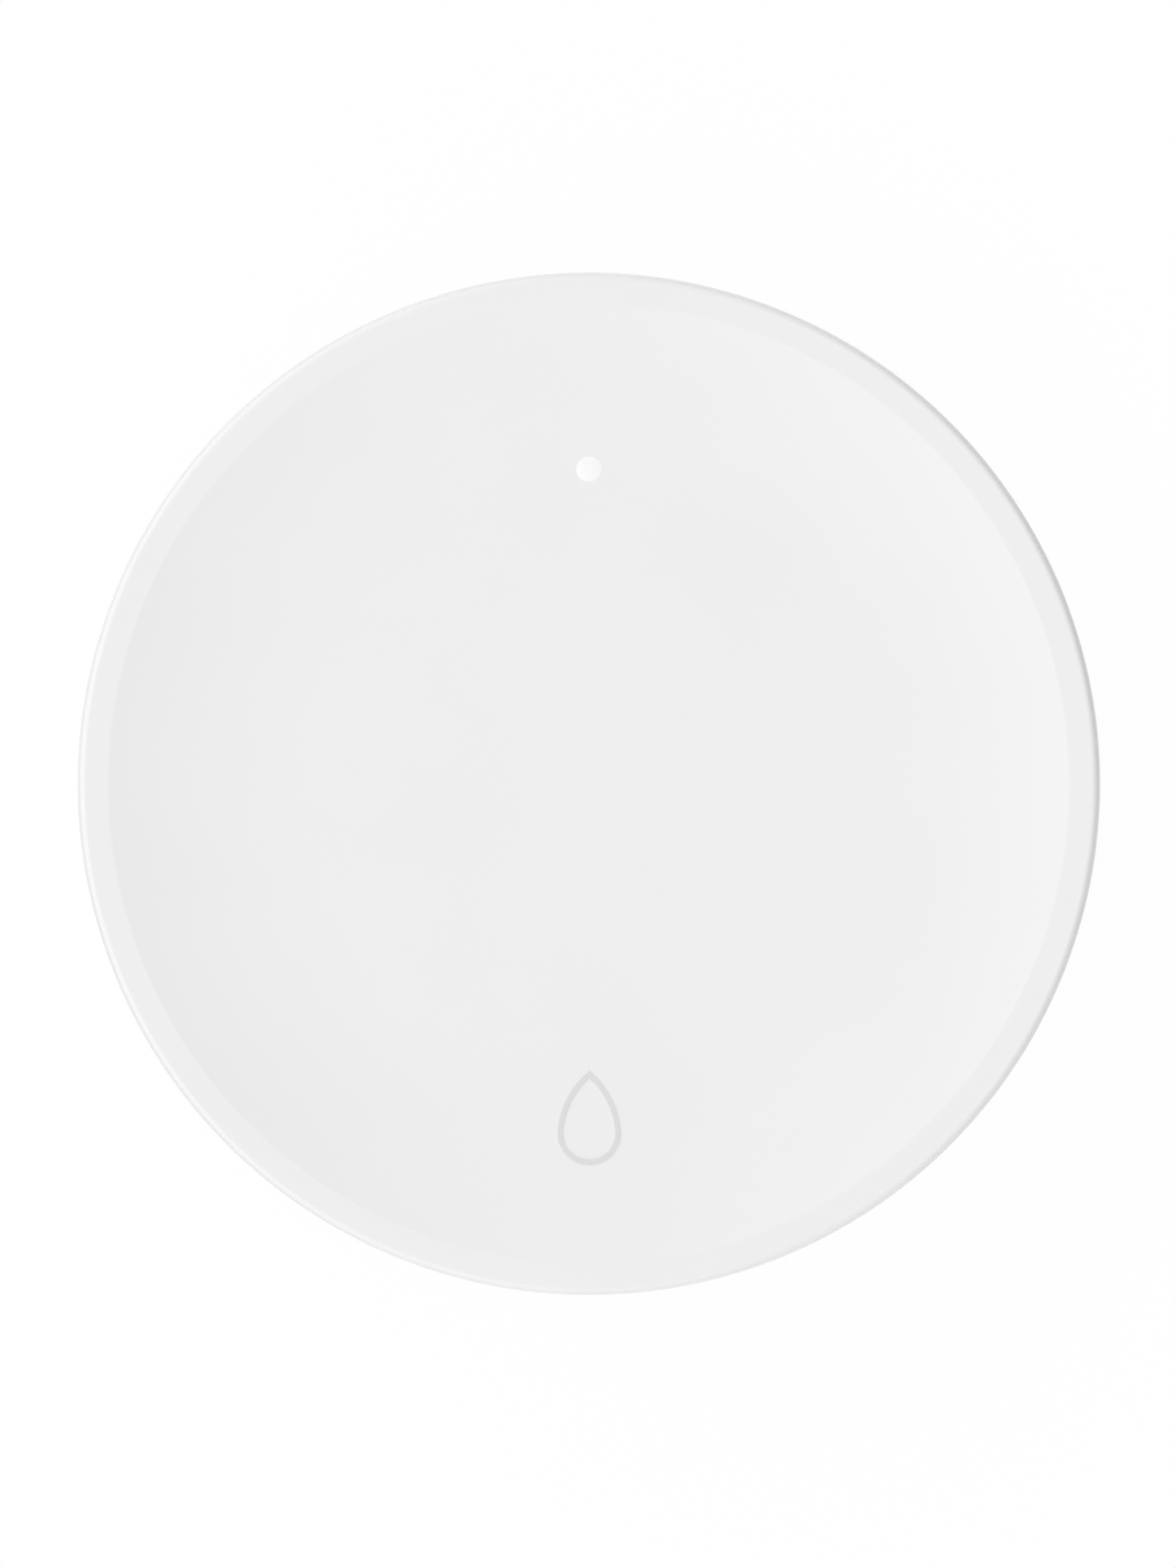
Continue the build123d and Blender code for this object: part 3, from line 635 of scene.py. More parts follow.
def track_field(tree, place, turn, size_mm, level):
    """Copper tracks that run one way, step across at the end of each run, and keep to fields of their own."""
    turned = add(tree, "ShaderNodeMapping", {"Vector": place, "Rotation": (0, 0, radians(turn))})
    bricks = {
        "Vector": turned.outputs["Vector"],
        "Scale": per_metre(1.0),
        "Mortar Size": TRACK_WIDTH / 2,
        "Mortar Smooth": 0.3,
        "Brick Width": TRACK_RUN,
        "Row Height": TRACK_PITCH,
    }
    runs = add(tree, "ShaderNodeTexBrick", bricks, offset=0.37, offset_frequency=3).outputs["Fac"]
    clouds = {"Vector": place, "Scale": per_metre(size_mm), "Detail": 0.0}
    cloud = add(tree, "ShaderNodeTexNoise", clouds).outputs["Fac"]
    edge = {"Value": cloud, "From Min": level, "From Max": level + FIELD_BLEND}
    field = add(tree, "ShaderNodeMapRange", edge).outputs["Result"]
    return add(tree, "ShaderNodeMath", {0: runs, 1: field}, operation="MULTIPLY").outputs["Value"]


def masked_laminate(name, mask, track, plated, bare):
    """Glass laminate under solder mask: runs of copper track show as paler raised lines under the gloss,
    between open ground and small plated holes, and the sawn edge is bare resin and glass."""
    material, tree, place = blank_material(name)
    across = track_field(tree, place, 0, ACROSS_FIELD, ACROSS_LEVEL)
    along = track_field(tree, place, 90, ALONG_FIELD, ALONG_LEVEL)
    tracks = add(tree, "ShaderNodeMath", {0: across, 1: along}, operation="MAXIMUM").outputs["Value"]
    cells = {"Vector": place, "Scale": per_metre(HOLE_PITCH)}
    holes = add(tree, "ShaderNodeTexVoronoi", cells, voronoi_dimensions="2D").outputs["Distance"]
    tone = add(tree, "ShaderNodeMix", {0: tracks, 6: mask, 7: track}, data_type="RGBA").outputs[2]
    for share, inside in ((COLLAR_SHARE, plated), (BORE_SHARE, bare)):
        edge = {"Value": holes, "From Min": share - SOFT_SHARE, "From Max": share + SOFT_SHARE}
        outside = add(tree, "ShaderNodeMapRange", edge).outputs["Result"]
        tone = add(tree, "ShaderNodeMix", {0: outside, 6: inside, 7: tone}, data_type="RGBA").outputs[2]
    normal = add(tree, "ShaderNodeTexCoord").outputs["Normal"]
    upright = add(tree, "ShaderNodeSeparateXYZ", {"Vector": normal}).outputs["Z"]
    flat = add(tree, "ShaderNodeMath", {0: upright}, operation="ABSOLUTE").outputs["Value"]
    surfaced(tree, {"IOR": 1.52}, (flat, bare, tone), (flat, 0.7, 0.25), (tracks, TRACK_THICKNESS))
    return material


def cut_foam(name, first, second, cell_mm=0.35, depth_mm=0.06):
    """Closed-cell foam, die cut: its skin is pitted by the cells, and the colour goes darker toward the
    bottom of each pit as painted shade.
    """
    material, tree, place = blank_material(name)
    pits = {"Vector": place, "Scale": per_metre(cell_mm)}
    cells = add(tree, "ShaderNodeTexVoronoi", pits).outputs["Distance"]
    # The colour follows the pits' depth: painted shade, darker at each pit's bottom.
    surfaced(tree, {"IOR": 1.4}, (cells, first, second), (cells, 0.8, 0.9), (cells, depth_mm))
    return material


shell_abs = satin_moulding("satin_white_abs", "#EFEFEF", "#EEEEEE", roughness=0.5)
drop_ink = pad_print("pale_grey_pad_ink", "#DEDEDE", "#DBDBDB")
# The lamp's near-white colour is partly its milky plastic and partly a painted glow.
lamp_acrylic_with_painted_glow = opal_moulding_with_painted_glow("opal_acrylic_painted_glow", "#FBFBFB", "#F9F9F9")
seal_silicone = moulded_rubber("dark_silicone_rubber", "#37383A", "#404143")
probe_steel = {
    side: turned_metal(f"turned_stainless_steel_{side}", "#C6C4C0", "#ABA9A5", x, 0.754, roughness=0.28)
    for side, x in PROBE_SIDES
}
standoff_brass = turned_metal("turned_brass", "#D8B56A", "#C8A456", 0, ring_mm=1.2566, roughness=0.3)
cell_nickel = rolled_metal("nickel_plated_cell_steel", "#D3D1CC", "#C5C3BE", roughness=0.26)
spring_gilt = rolled_metal("gilt_spring_bronze", "#E2BE70", "#D2AC5C", roughness=0.26)
pressed_steel = rolled_metal("pressed_stainless_sheet", "#C9CBCC", "#B8BABB", roughness=0.3)
screw_zinc = rolled_metal("zinc_plated_screw_steel", "#C2C5C8", "#AEB1B5", roughness=0.34)
filled_nylon = satin_moulding("black_filled_nylon", "#1C1C1D", "#242426", roughness=0.55, ior=1.53)
gasket_polypropylene = satin_moulding(
    "black_gasket_polypropylene", "#222224", "#2A2A2C", roughness=0.45, ior=1.49
)
package_ceramic = satin_moulding("white_package_ceramic", "#E9E4D8", "#E0DACC", roughness=0.5, ior=1.6)
board_laminate = masked_laminate(
    "green_masked_laminate", mask="#0F5A33", track="#2A7A47", plated="#C9AE5E", bare="#B3A468"
)
pad_foam = cut_foam("black_closed_cell_foam", "#1B1B1C", "#303032")


def shell_outline():
    """The top cover's section, from the middle of the dish over the rim, down the wall and back inside."""
    rings = radii_between(DISH_FLAT_RADIUS, RIM_INNER - EDGE_LOOP, DISH_RINGS)
    top = [(0, DISH_FLOOR)] + [(radius, dish_height(radius)) for radius in rings]
    rim = [(RIM_INNER, CASE_HEIGHT), (RIM_INNER + EDGE_LOOP, CASE_HEIGHT)]
    edge = arc((TOP_RADIUS - RIM_EDGE, CASE_HEIGHT - RIM_EDGE), RIM_EDGE, 90, 0, RIM_EDGE_STEPS)
    lip = arc((CASE_RADIUS - LIP_EDGE, PARTING_HEIGHT + LIP_EDGE), LIP_EDGE, 0, -90, SMALL_EDGE_STEPS)
    corner_radius = COVER_INNER - CORNER_LEG
    corner = dish_height(corner_radius) - TOP_WALL
    inside = [(COVER_INNER, PARTING_HEIGHT), (COVER_INNER, corner - CORNER_LEG)]
    under_rings = [radius for radius in reversed(rings[::UNDER_STRIDE]) if radius < corner_radius]
    under = [(corner_radius, corner)] + [(radius, dish_height(radius) - TOP_WALL) for radius in under_rings]
    return top + rim + edge + lip + inside + under + [(0, DISH_FLOOR - TOP_WALL)]


def lamp_bore():
    """The stepped bore of the lamp."""
    tip = PIPE_TIP_RADIUS + PIPE_GAP
    wide = PIPE_FLANGE_RADIUS + PIPE_GAP
    step = PIPE_FLANGE_TOP + PIPE_GAP
    outline = [
        (0, BOSS_LOW - OVERRUN),
        (wide, BOSS_LOW - OVERRUN),
        (wide, step),
        (tip, step),
        (tip, CASE_HEIGHT + OVERRUN),
        (0, CASE_HEIGHT + OVERRUN),
    ]
    return placed(lathe(outline, SMALL_STEPS), y=LAMP_Y)


def make_cap():
    """The dished cap, one smooth skin from the dish over the rim to the parting."""
    cap = working("dished_cap", lathe(shell_outline()))
    joined(cap, [placed(rod(BOSS_RADIUS, BOSS_LOW, DISH_FLOOR - TOP_WALL / 2), y=LAMP_Y)])
    press = rod(WEB_RADIUS, PARTING_HEIGHT, CASE_HEIGHT + OVERRUN, WEB_WEDGES * WEDGE_STEPS)
    half = POCKET_ANGLE / 2
    pockets = [
        block_wedge(COVER_INNER - OVERRUN, POCKET_RADIUS, POCKET_LOW, POCKET_HIGH, angle - half, angle + half)
        for angle in spaced(HOOK_COUNT, HOOK_FIRST)
    ]
    cut(cap, [lamp_bore(), placed(press, y=PRESS_Y), *pockets])
    finished(cap, shell_abs, ["top_cover"], "housing")


def draped(bm):
    """Brings a form that is drawn on a plane onto the dish."""
    for vert in bm.verts:
        vert.co.z += dish_height(hypot(vert.co.x, vert.co.y))
    return bm


def make_press_ring():
    """The thinned ring that flexes, in wedges that each lie between cap and pad."""
    sweep = 360 / WEB_WEDGES
    radii = radii_between(PAD_RADIUS, WEB_RADIUS, PRESS_RINGS)
    outline = [(radius, 0) for radius in radii] + [(radius, -WEB_THICKNESS) for radius in reversed(radii)]
    for index in range(WEB_WEDGES):
        form = draped(placed(wedge(outline, index * sweep, sweep, WEDGE_STEPS), y=PRESS_Y))
        piece = working(f"press_ring_{index + 1:02d}", form)
        nodes = ["button_web"] if index == 0 else []
        finished(piece, shell_abs, nodes, weighted=False)
        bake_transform(piece)


def make_press_pad():
    """The stiff middle of the press spot, with its plunger."""
    radii = radii_between(0, PAD_RADIUS, 2 * PRESS_RINGS)
    outline = [(radius, 0) for radius in radii] + [(PAD_RADIUS, -TOP_WALL), (0, -TOP_WALL)]
    form = draped(placed(lathe(outline, WEB_WEDGES * WEDGE_STEPS), y=PRESS_Y))
    pad = working("press_pad", form)
    joined(pad, [placed(rod(PLUNGER_RADIUS, pad_low.z, DISH_FLOOR - TOP_WALL / 2), y=PRESS_Y)])
    finished(pad, shell_abs, ["button_pad"], "button")


def drop_points(inset):
    """The drop's outline, or one that runs evenly inside it: a bowl, and two flatter arcs up to the tip."""
    reach = (DROP_TIP**2 - DROP_ROUND**2) / (2 * (DROP_ROUND - DROP_TIP * sin(radians(DROP_RISE))))
    centre = (-reach * cos(radians(DROP_RISE)), -reach * sin(radians(DROP_RISE)))
    flank = reach + DROP_ROUND - inset
    bowl = arc((0, 0), DROP_ROUND - inset, 180 - DROP_RISE, 360 + DROP_RISE, DROP_STEPS)
    right = arc(centre, flank, DROP_RISE, degrees(acos(-centre[0] / flank)), DROP_STEPS)
    left = [(-x, y) for x, y in reversed(right)]
    return bowl + right[1:] + left[1:-1]


def make_drop():
    """The printed outline of a drop, a thin even layer on the pad."""
    outer, inner = drop_points(0), drop_points(DROP_LINE)
    levels = [(outer, 0), (outer, INK_THICKNESS), (inner, INK_THICKNESS), (inner, 0)]
    shift = (DROP_TIP - DROP_ROUND) / 2
    form = draped(placed(lofted(levels, ring=True), y=PRESS_Y - shift))
    finished(working("drop_print", form), drop_ink, ["droplet_mark"], "button", weighted=False)


def make_lamp():
    """The stepped light pipe. Its tip fills the bore and stands in the dish as a very low dome."""
    rim = dish_height(LAMP_Y)
    tip = PIPE_TIP_RADIUS + PIPE_GAP
    ball = (tip**2 + PIPE_CROWN**2) / (2 * PIPE_CROWN)
    dome = arc((0, rim + PIPE_CROWN - ball), ball, degrees(acos(tip / ball)), 90, LAMP_DOME_STEPS)
    corner = (PIPE_FLANGE_RADIUS - PIPE_EDGE, pipe_low.z + PIPE_EDGE)
    flange = [(0, pipe_low.z), *arc(corner, PIPE_EDGE, -90, 0, PIPE_EDGE_STEPS)]
    step = [(PIPE_FLANGE_RADIUS, PIPE_FLANGE_TOP), (tip, PIPE_FLANGE_TOP)]
    form = placed(lathe(flange + step + dome[:-1] + [(0, rim + PIPE_CROWN)], SMALL_STEPS), y=LAMP_Y)
    finished(working("lamp_window", form), lamp_acrylic_with_painted_glow, ["light_pipe"], "housing")


def base_outline():
    """The base's section: underside, curved edge, reveal, spigot, seal groove, floor, ledge and recess."""
    flat_end = BASE_RADIUS - BASE_EDGE
    low_reveal = PARTING_HEIGHT - REVEAL_HEIGHT
    land = BASE_RADIUS - REVEAL_DEPTH
    mouth = (RECESS_RADIUS + RECESS_EDGE, FOOT_HEIGHT + RECESS_EDGE)
    return [
        *arc((flat_end, FOOT_HEIGHT + BASE_EDGE), BASE_EDGE, -90, 0, BASE_EDGE_STEPS),
        *arc((BASE_RADIUS - REVEAL_EDGE, low_reveal - REVEAL_EDGE), REVEAL_EDGE, 0, 90, SMALL_EDGE_STEPS),
        (land, low_reveal),
        (land, PARTING_HEIGHT),
        (SPIGOT_OUTER, PARTING_HEIGHT),
        (SPIGOT_OUTER, SEAL_GROOVE_LOW),
        (SEAL_GROOVE_FLOOR, SEAL_GROOVE_LOW),
        (SEAL_GROOVE_FLOOR, SEAL_GROOVE_HIGH),
        (SPIGOT_OUTER, SEAL_GROOVE_HIGH),
        (SPIGOT_OUTER, SPIGOT_TOP),
        (SPIGOT_INNER, SPIGOT_TOP),
        (SPIGOT_INNER, FLOOR_TOP),
        (LEDGE_RADIUS, FLOOR_TOP),
        (LEDGE_RADIUS, LEDGE_TOP),
        (THROAT_RADIUS, LEDGE_TOP),
        (THROAT_RADIUS, LEDGE_LOW),
        (RECESS_RADIUS, LEDGE_LOW),
        *arc(mouth, RECESS_EDGE, 180, 270, SMALL_EDGE_STEPS),
    ]


def above_incline(bm, height):
    """Keeps what lies above the plane that falls in the opening direction at the bayonet's rate."""
    mid_radius = (LID_SPIGOT_OUTER + LUG_RADIUS) / 2
    tilt = atan(OPENING_TRAVEL / radians(OPENING_ANGLE) / mid_radius)
    mid_height = height - OPENING_TRAVEL * (LUG_ANGLE / 2) / OPENING_ANGLE
    lean = Matrix.Rotation(radians(-LUG_ANGLE / 2), 3, "Z") @ Vector((0, -sin(tilt), cos(tilt)))
    bmesh.ops.bisect_plane(
        bm, geom=bm.verts[:] + bm.edges[:] + bm.faces[:], plane_co=(0, 0, mid_height), plane_no=lean,
        clear_inner=True,
    )
    bmesh.ops.holes_fill(bm, edges=bm.edges)
    return tidy_form(bm)


def bayonet_ramp(turn):
    """The cut that gives the ledge its ramp."""
    form = block_wedge(CELL_RADIUS, NOTCH_RADIUS, LEDGE_LOW - OVERRUN, LEDGE_TOP + OVERRUN, -RAMP_END, 0)
    return placed(above_incline(form, LEDGE_TOP), turn=turn)


def bayonet_notch(turn):
    """The cut that a lug passes through."""
    low, high = LEDGE_LOW - OVERRUN / 2, LEDGE_TOP + OVERRUN / 2
    return placed(block_wedge(CELL_RADIUS, NOTCH_RADIUS, low, high, -NOTCH_END, -RAMP_END), turn=turn)


def hook(angle):
    """A snap tab on the spigot wall, with its hook."""
    half = HOOK_ANGLE / 2
    middle = (SPIGOT_INNER + SPIGOT_OUTER) / 2
    outline = [
        (SPIGOT_INNER, SPIGOT_TOP - OVERRUN),
        (middle, SPIGOT_TOP - OVERRUN),
        (middle, SPIGOT_TOP),
        (SPIGOT_OUTER, SPIGOT_TOP),
        (SPIGOT_OUTER, HOOK_LOW),
        (SPIGOT_OUTER + HOOK_REACH, HOOK_LOW),
        (SPIGOT_OUTER + HOOK_REACH, HOOK_TOP),
        (SPIGOT_INNER, HOOK_TOP),
    ]
    return wedge(outline, angle - half, HOOK_ANGLE, WALL_STEPS)


def base_additions():
    """What stands on the base: feet, board posts, probe bosses and snap hooks."""
    half = FOOT_ANGLE / 2
    high = FOOT_HEIGHT + OVERRUN
    sunk = FLOOR_TOP - OVERRUN
    feet = [
        eased(block_wedge(FOOT_INNER, FOOT_OUTER, base_low.z, high, angle - half, angle + half), FOOT_EDGE)
        for angle in spaced(FOOT_COUNT, FOOT_FIRST)
    ]
    post = [
        (0, sunk),
        (POST_RADIUS, sunk),
        (POST_RADIUS, BOARD_LOW - POST_EDGE),
        (POST_RADIUS - POST_EDGE, BOARD_LOW),
        (0, BOARD_LOW),
    ]
    turns = spaced(POST_COUNT, POST_FIRST)
    posts = [placed(lathe(post, SMALL_STEPS), x=PROBE_X, turn=turn) for turn in turns]
    bosses = [placed(rod(PROBE_BOSS_RADIUS, sunk, PROBE_BOSS_TOP), x=x) for x in (-PROBE_X, PROBE_X)]
    hooks = [hook(angle) for angle in spaced(HOOK_COUNT, HOOK_FIRST)]
    return [*feet, *posts, *bosses, *hooks]


def probe_room():
    """The recess and the bore of a probe, with an eased mouth."""
    centre = (PROBE_RECESS_RADIUS + RECESS_EDGE, FOOT_HEIGHT + RECESS_EDGE)
    mouth = arc(centre, RECESS_EDGE, 270, 180, SMALL_EDGE_STEPS)
    outline = [
        (0, FOOT_HEIGHT - OVERRUN),
        (PROBE_RECESS_RADIUS + RECESS_EDGE, FOOT_HEIGHT - OVERRUN),
        *mouth,
        (PROBE_RECESS_RADIUS, PROBE_RECESS_TOP),
        (PROBE_BORE_RADIUS, PROBE_RECESS_TOP),
        (PROBE_BORE_RADIUS, PROBE_BOSS_TOP + OVERRUN),
        (0, PROBE_BOSS_TOP + OVERRUN),
    ]
    return lathe(outline, SMALL_STEPS)


def dot_tool(face, depth):
    """A shallow round dimple's cutter, with a domed floor."""
    ball = (MARK_RADIUS**2 + depth**2) / (2 * depth)
    dome = arc((0, face + depth - ball), ball, degrees(asin((ball - depth) / ball)), 90, EDGE_STEPS)
    low = face - OVERRUN
    return lathe([(0, low), (MARK_RADIUS, low), *dome[:-1], (0, face + depth)], DOT_STEPS)


def make_base():
    """The base shell, from its feet to its snap hooks."""
    base = working("base_moulding", lathe(base_outline(), closed=True))
    joined(base, base_additions())
    rooms = [placed(probe_room(), x=x) for x in (-PROBE_X, PROBE_X)]
    pilot = (PILOT_RADIUS, BOARD_LOW - PILOT_DEPTH, BOARD_LOW + OVERRUN, PILOT_STEPS)
    pilots = [placed(rod(*pilot), x=PROBE_X, turn=turn) for turn in spaced(POST_COUNT, POST_FIRST)]
    dots = [
        placed(dot_tool(FOOT_HEIGHT, MARK_DEPTH), x=LEDGE_RADIUS, turn=turn)
        for turn in (MARK_ANGLE, MARK_ANGLE - OPENING_ANGLE)
    ]
    cut(base, [*rooms, *pilots, *dots])
    cut(base, [bayonet_notch(turn) for turn in spaced(LUG_COUNT, 0)])
    cut(base, [bayonet_ramp(turn) for turn in spaced(LUG_COUNT, 0)])
    finished(base, shell_abs, ["base_shell"], "housing")


def stadium(grow):
    """The coin slot's outline, grown by an offset."""
    reach = (SLOT_LENGTH - SLOT_WIDTH) / 2
    radius = SLOT_WIDTH / 2 + grow
    right = arc((reach, 0), radius, -90, 90, SLOT_END_STEPS)
    return right + [(-x, -y) for x, y in right]


def coin_slot():
    """The coin slot's cutter, with an eased mouth."""
    return lofted([
        (stadium(SLOT_EDGE), LID_FACE - OVERRUN),
        (stadium(SLOT_EDGE), LID_FACE),
        (stadium(SLOT_EDGE / 3), LID_FACE + SLOT_EDGE / 3),
        (stadium(0), LID_FACE + SLOT_EDGE),
        (stadium(0), LID_FACE + SLOT_DEPTH),
    ])


def arrow_tool():
    """The cutter of the curved arrow that shows which way the cover opens."""
    half, head = ARROW_WIDTH / 2, ARROW_HEAD_WIDTH / 2
    outer = arc((0, 0), LID_MARK_PLACE + half, ARROW_START, ARROW_END, ARROW_STEPS)
    inner = arc((0, 0), LID_MARK_PLACE - half, ARROW_END, ARROW_START, ARROW_STEPS)
    barb_out = arc((0, 0), LID_MARK_PLACE + head, ARROW_END, ARROW_END, 1)[0]
    barb_in = arc((0, 0), LID_MARK_PLACE - head, ARROW_END, ARROW_END, 1)[0]
    tip = arc((0, 0), LID_MARK_PLACE, ARROW_END - ARROW_HEAD_ANGLE, ARROW_END, 1)[0]
    points = [*outer, barb_out, tip, barb_in, *inner]
    return lofted([(points, LID_FACE - OVERRUN), (points, LID_FACE + ARROW_DEPTH)])


def lid_outline():
    """The battery cover's section: face, flange with its seal groove, and spigot."""
    return [
        (0, LID_FACE),
        *arc((LID_RADIUS - LID_EDGE, LID_FACE + LID_EDGE), LID_EDGE, -90, 0, LID_EDGE_STEPS),
        (LID_RADIUS, FLANGE_TOP),
        (GROOVE_OUTER, FLANGE_TOP),
        (GROOVE_OUTER, GROOVE_LOW),
        (GROOVE_INNER, GROOVE_LOW),
        (GROOVE_INNER, FLANGE_TOP),
        (LID_SPIGOT_OUTER, FLANGE_TOP),
        (LID_SPIGOT_OUTER, LID_LUG_TOP),
        (LID_SPIGOT_INNER, LID_LUG_TOP),
        (LID_SPIGOT_INNER, LID_PLATE_TOP),
        (0, LID_PLATE_TOP),
    ]


def lug(turn):
    """One of the cover's lugs, whose underside falls at the bayonet's rate."""
    middle = (LID_SPIGOT_INNER + LID_SPIGOT_OUTER) / 2
    form = block_wedge(middle, LUG_RADIUS, LEDGE_LOW, LID_LUG_TOP - EDGE_LOOP, -LUG_ANGLE, 0)
    return placed(above_incline(form, LEDGE_TOP + LUG_RAMP_GAP), turn=turn)


def make_lid():
    """The bayonet cover, with its lugs, coin slot, dot and arrow."""
    lid = working("bayonet_cover", lathe(lid_outline()))
    joined(lid, [lug(turn) for turn in spaced(LUG_COUNT, 0)])
    dot = placed(dot_tool(LID_FACE, MARK_DEPTH), x=LID_MARK_PLACE, turn=MARK_ANGLE)
    cut(lid, [coin_slot(), dot, arrow_tool()])
    finished(lid, shell_abs, ["battery_cover"], "battery_cover")


def cord_ring(size, x=0):
    """A round cord seal, from its middle radius, height and cord."""
    radius, height, cord = size
    section = arc((radius, height), cord / 2, 0, 360, SEAL_STEPS)[:-1]
    return placed(lathe(section, STEPS if radius > PROBE_X / 2 else SMALL_STEPS, closed=True), x=x)


def make_seals():
    """The cord seals of the shells, the battery cover and the probes."""
    shell = working("shell_cord_seal", cord_ring(SHELL_SEAL))
    finished(shell, seal_silicone, ["shell_seal"], "housing")
    cover = working("cover_cord_seal", cord_ring(COVER_SEAL))
    finished(cover, seal_silicone, ["cover_seal_ring"], "cover_seal")
    for side, x in PROBE_SIDES:
        probe = working(f"probe_cord_seal_{side}", cord_ring(PROBE_SEAL, x))
        finished(probe, seal_silicone, [f"probe_seal_{side}"], "housing")


def cross(arm, half_width):
    """The outline of a cross."""
    quarter = [(arm, -half_width), (arm, half_width), (half_width, half_width)]
    turns = [Matrix.Rotation(radians(turn), 2) for turn in (0, 90, 180, 270)]
    return [tuple(turn @ Vector(point)) for turn in turns for point in quarter]


def probe_outline():
    """The probe screw's section: rounded head, neck, thread and chamfered end."""
    head_top = PROBE_FACE + PROBE_HEAD_HEIGHT
    corner = (PROBE_HEAD_RADIUS - PROBE_HEAD_EDGE, PROBE_FACE + PROBE_HEAD_EDGE)
    root = PROBE_SHANK_RADIUS - THREAD_DEPTH
    turns = int((PROBE_END - THREAD_START) / THREAD_PITCH)
    thread = [(PROBE_SHANK_RADIUS, THREAD_START)]
    for index in range(turns):
        height = THREAD_START + index * THREAD_PITCH
        thread += [(root, height + THREAD_PITCH / 2), (PROBE_SHANK_RADIUS, height + THREAD_PITCH)]
    return [
        (0, PROBE_FACE),
        *arc(corner, PROBE_HEAD_EDGE, -90, 0, EDGE_STEPS),
        (PROBE_HEAD_RADIUS, head_top),
        (PROBE_SHANK_RADIUS, head_top),
        *thread[:-1],
        (root, PROBE_END),
        (0, PROBE_END),
    ]


def standoff_outline():
    """The standoff's section: body, shoulder and soldered pin round the bore."""
    low, high = standoff_low.z, standoff_high.z
    return [
        (STANDOFF_BORE_RADIUS, low),
        (STANDOFF_BODY_RADIUS - STANDOFF_EDGE, low),
        (STANDOFF_BODY_RADIUS, low + STANDOFF_EDGE),
        (STANDOFF_BODY_RADIUS, BOARD_LOW),
        (STANDOFF_PIN_RADIUS, BOARD_LOW),
        (STANDOFF_PIN_RADIUS, high),
        (STANDOFF_BORE_RADIUS, high),
    ]


def make_probes():
    """The two stainless probe screws, with their cross recesses, and the brass standoffs that hold them."""
    recess_levels = [
        (cross(*CROSS_MOUTH), PROBE_FACE - OVERRUN),
        (cross(*CROSS_MOUTH), PROBE_FACE),
        (cross(*CROSS_END), PROBE_FACE + CROSS_DEPTH),
    ]
    for side, x in PROBE_SIDES:
        probe = working(f"probe_{side}", placed(lathe(probe_outline(), SMALL_STEPS), x=x))
        cut(probe, [placed(lofted(recess_levels), x=x)])
        finished(probe, probe_steel[side], [f"probe_screw_{side}"], "housing")
        form = placed(lathe(standoff_outline(), SMALL_STEPS, closed=True), x=x)
        standoff = working(f"standoff_{side}", form)
        finished(standoff, standoff_brass, [f"probe_standoff_{side}"], "housing")


def make_cell():
    """The coin cell: can with a pressed plus sign, gasket and cap."""
    low, high = can_low.z, can_high.z
    inner = CELL_RADIUS - CELL_METAL
    can_outline = [
        (0, low),
        *arc((CELL_RADIUS - CELL_EDGE, low + CELL_EDGE), CELL_EDGE, -90, 0, EDGE_STEPS),
        *arc((CELL_RADIUS - CELL_METAL / 2, high - CELL_METAL / 2), CELL_METAL / 2, 0, 180, EDGE_STEPS),
        (inner, low + CELL_METAL),
        (0, low + CELL_METAL),
    ]
    can = working("cell_can", lathe(can_outline))
    plus = cross(PLUS_ARM, PLUS_HALF_WIDTH)
    cut(can, [lofted([(plus, low - OVERRUN), (plus, low + PLUS_DEPTH)])])
    finished(can, cell_nickel, ["coin_cell_can"], "housing")
    gasket_low = low + CELL_METAL + CELL_GAP
    gasket_outline = [
        (GASKET_INNER, gasket_low),
        (GASKET_OUTER, gasket_low),
        (GASKET_OUTER, GASKET_TOP),
        (GASKET_INNER, GASKET_TOP),
    ]
    gasket = working("cell_gasket", lathe(gasket_outline, closed=True))
    finished(gasket, gasket_polypropylene, ["coin_cell_gasket"], "housing")
    radius, top = cap_high.x, cap_high.z
    cap_outline = [
        (0, top),
        *arc((radius - CELL_EDGE, top - CELL_EDGE), CELL_EDGE, 90, 0, EDGE_STEPS),
        (radius, cap_low.z),
        (radius - CELL_METAL, cap_low.z),
        (radius - CELL_METAL, top - CELL_METAL),
        (0, top - CELL_METAL),
    ]
    finished(working("cell_cap", lathe(cap_outline)), cell_nickel, ["coin_cell_cap"], "housing")


def merged_copy(node, width):
    """A smooth copy of a node's form, its flat faces whole and its edges eased."""
    bm = bmesh.new()
    bm.from_mesh(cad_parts[node].data)
    bmesh.ops.scale(bm, verts=bm.verts, vec=(1 / MM, 1 / MM, 1 / MM))
    bmesh.ops.remove_doubles(bm, verts=bm.verts, dist=POINT_MERGE)
    bmesh.ops.dissolve_limit(bm, angle_limit=radians(FLAT_ANGLE), verts=bm.verts, edges=bm.edges)
    if width:
        eased(bm, width, segments=2)
    return working(f"{node}_piece", tidy_form(bm))


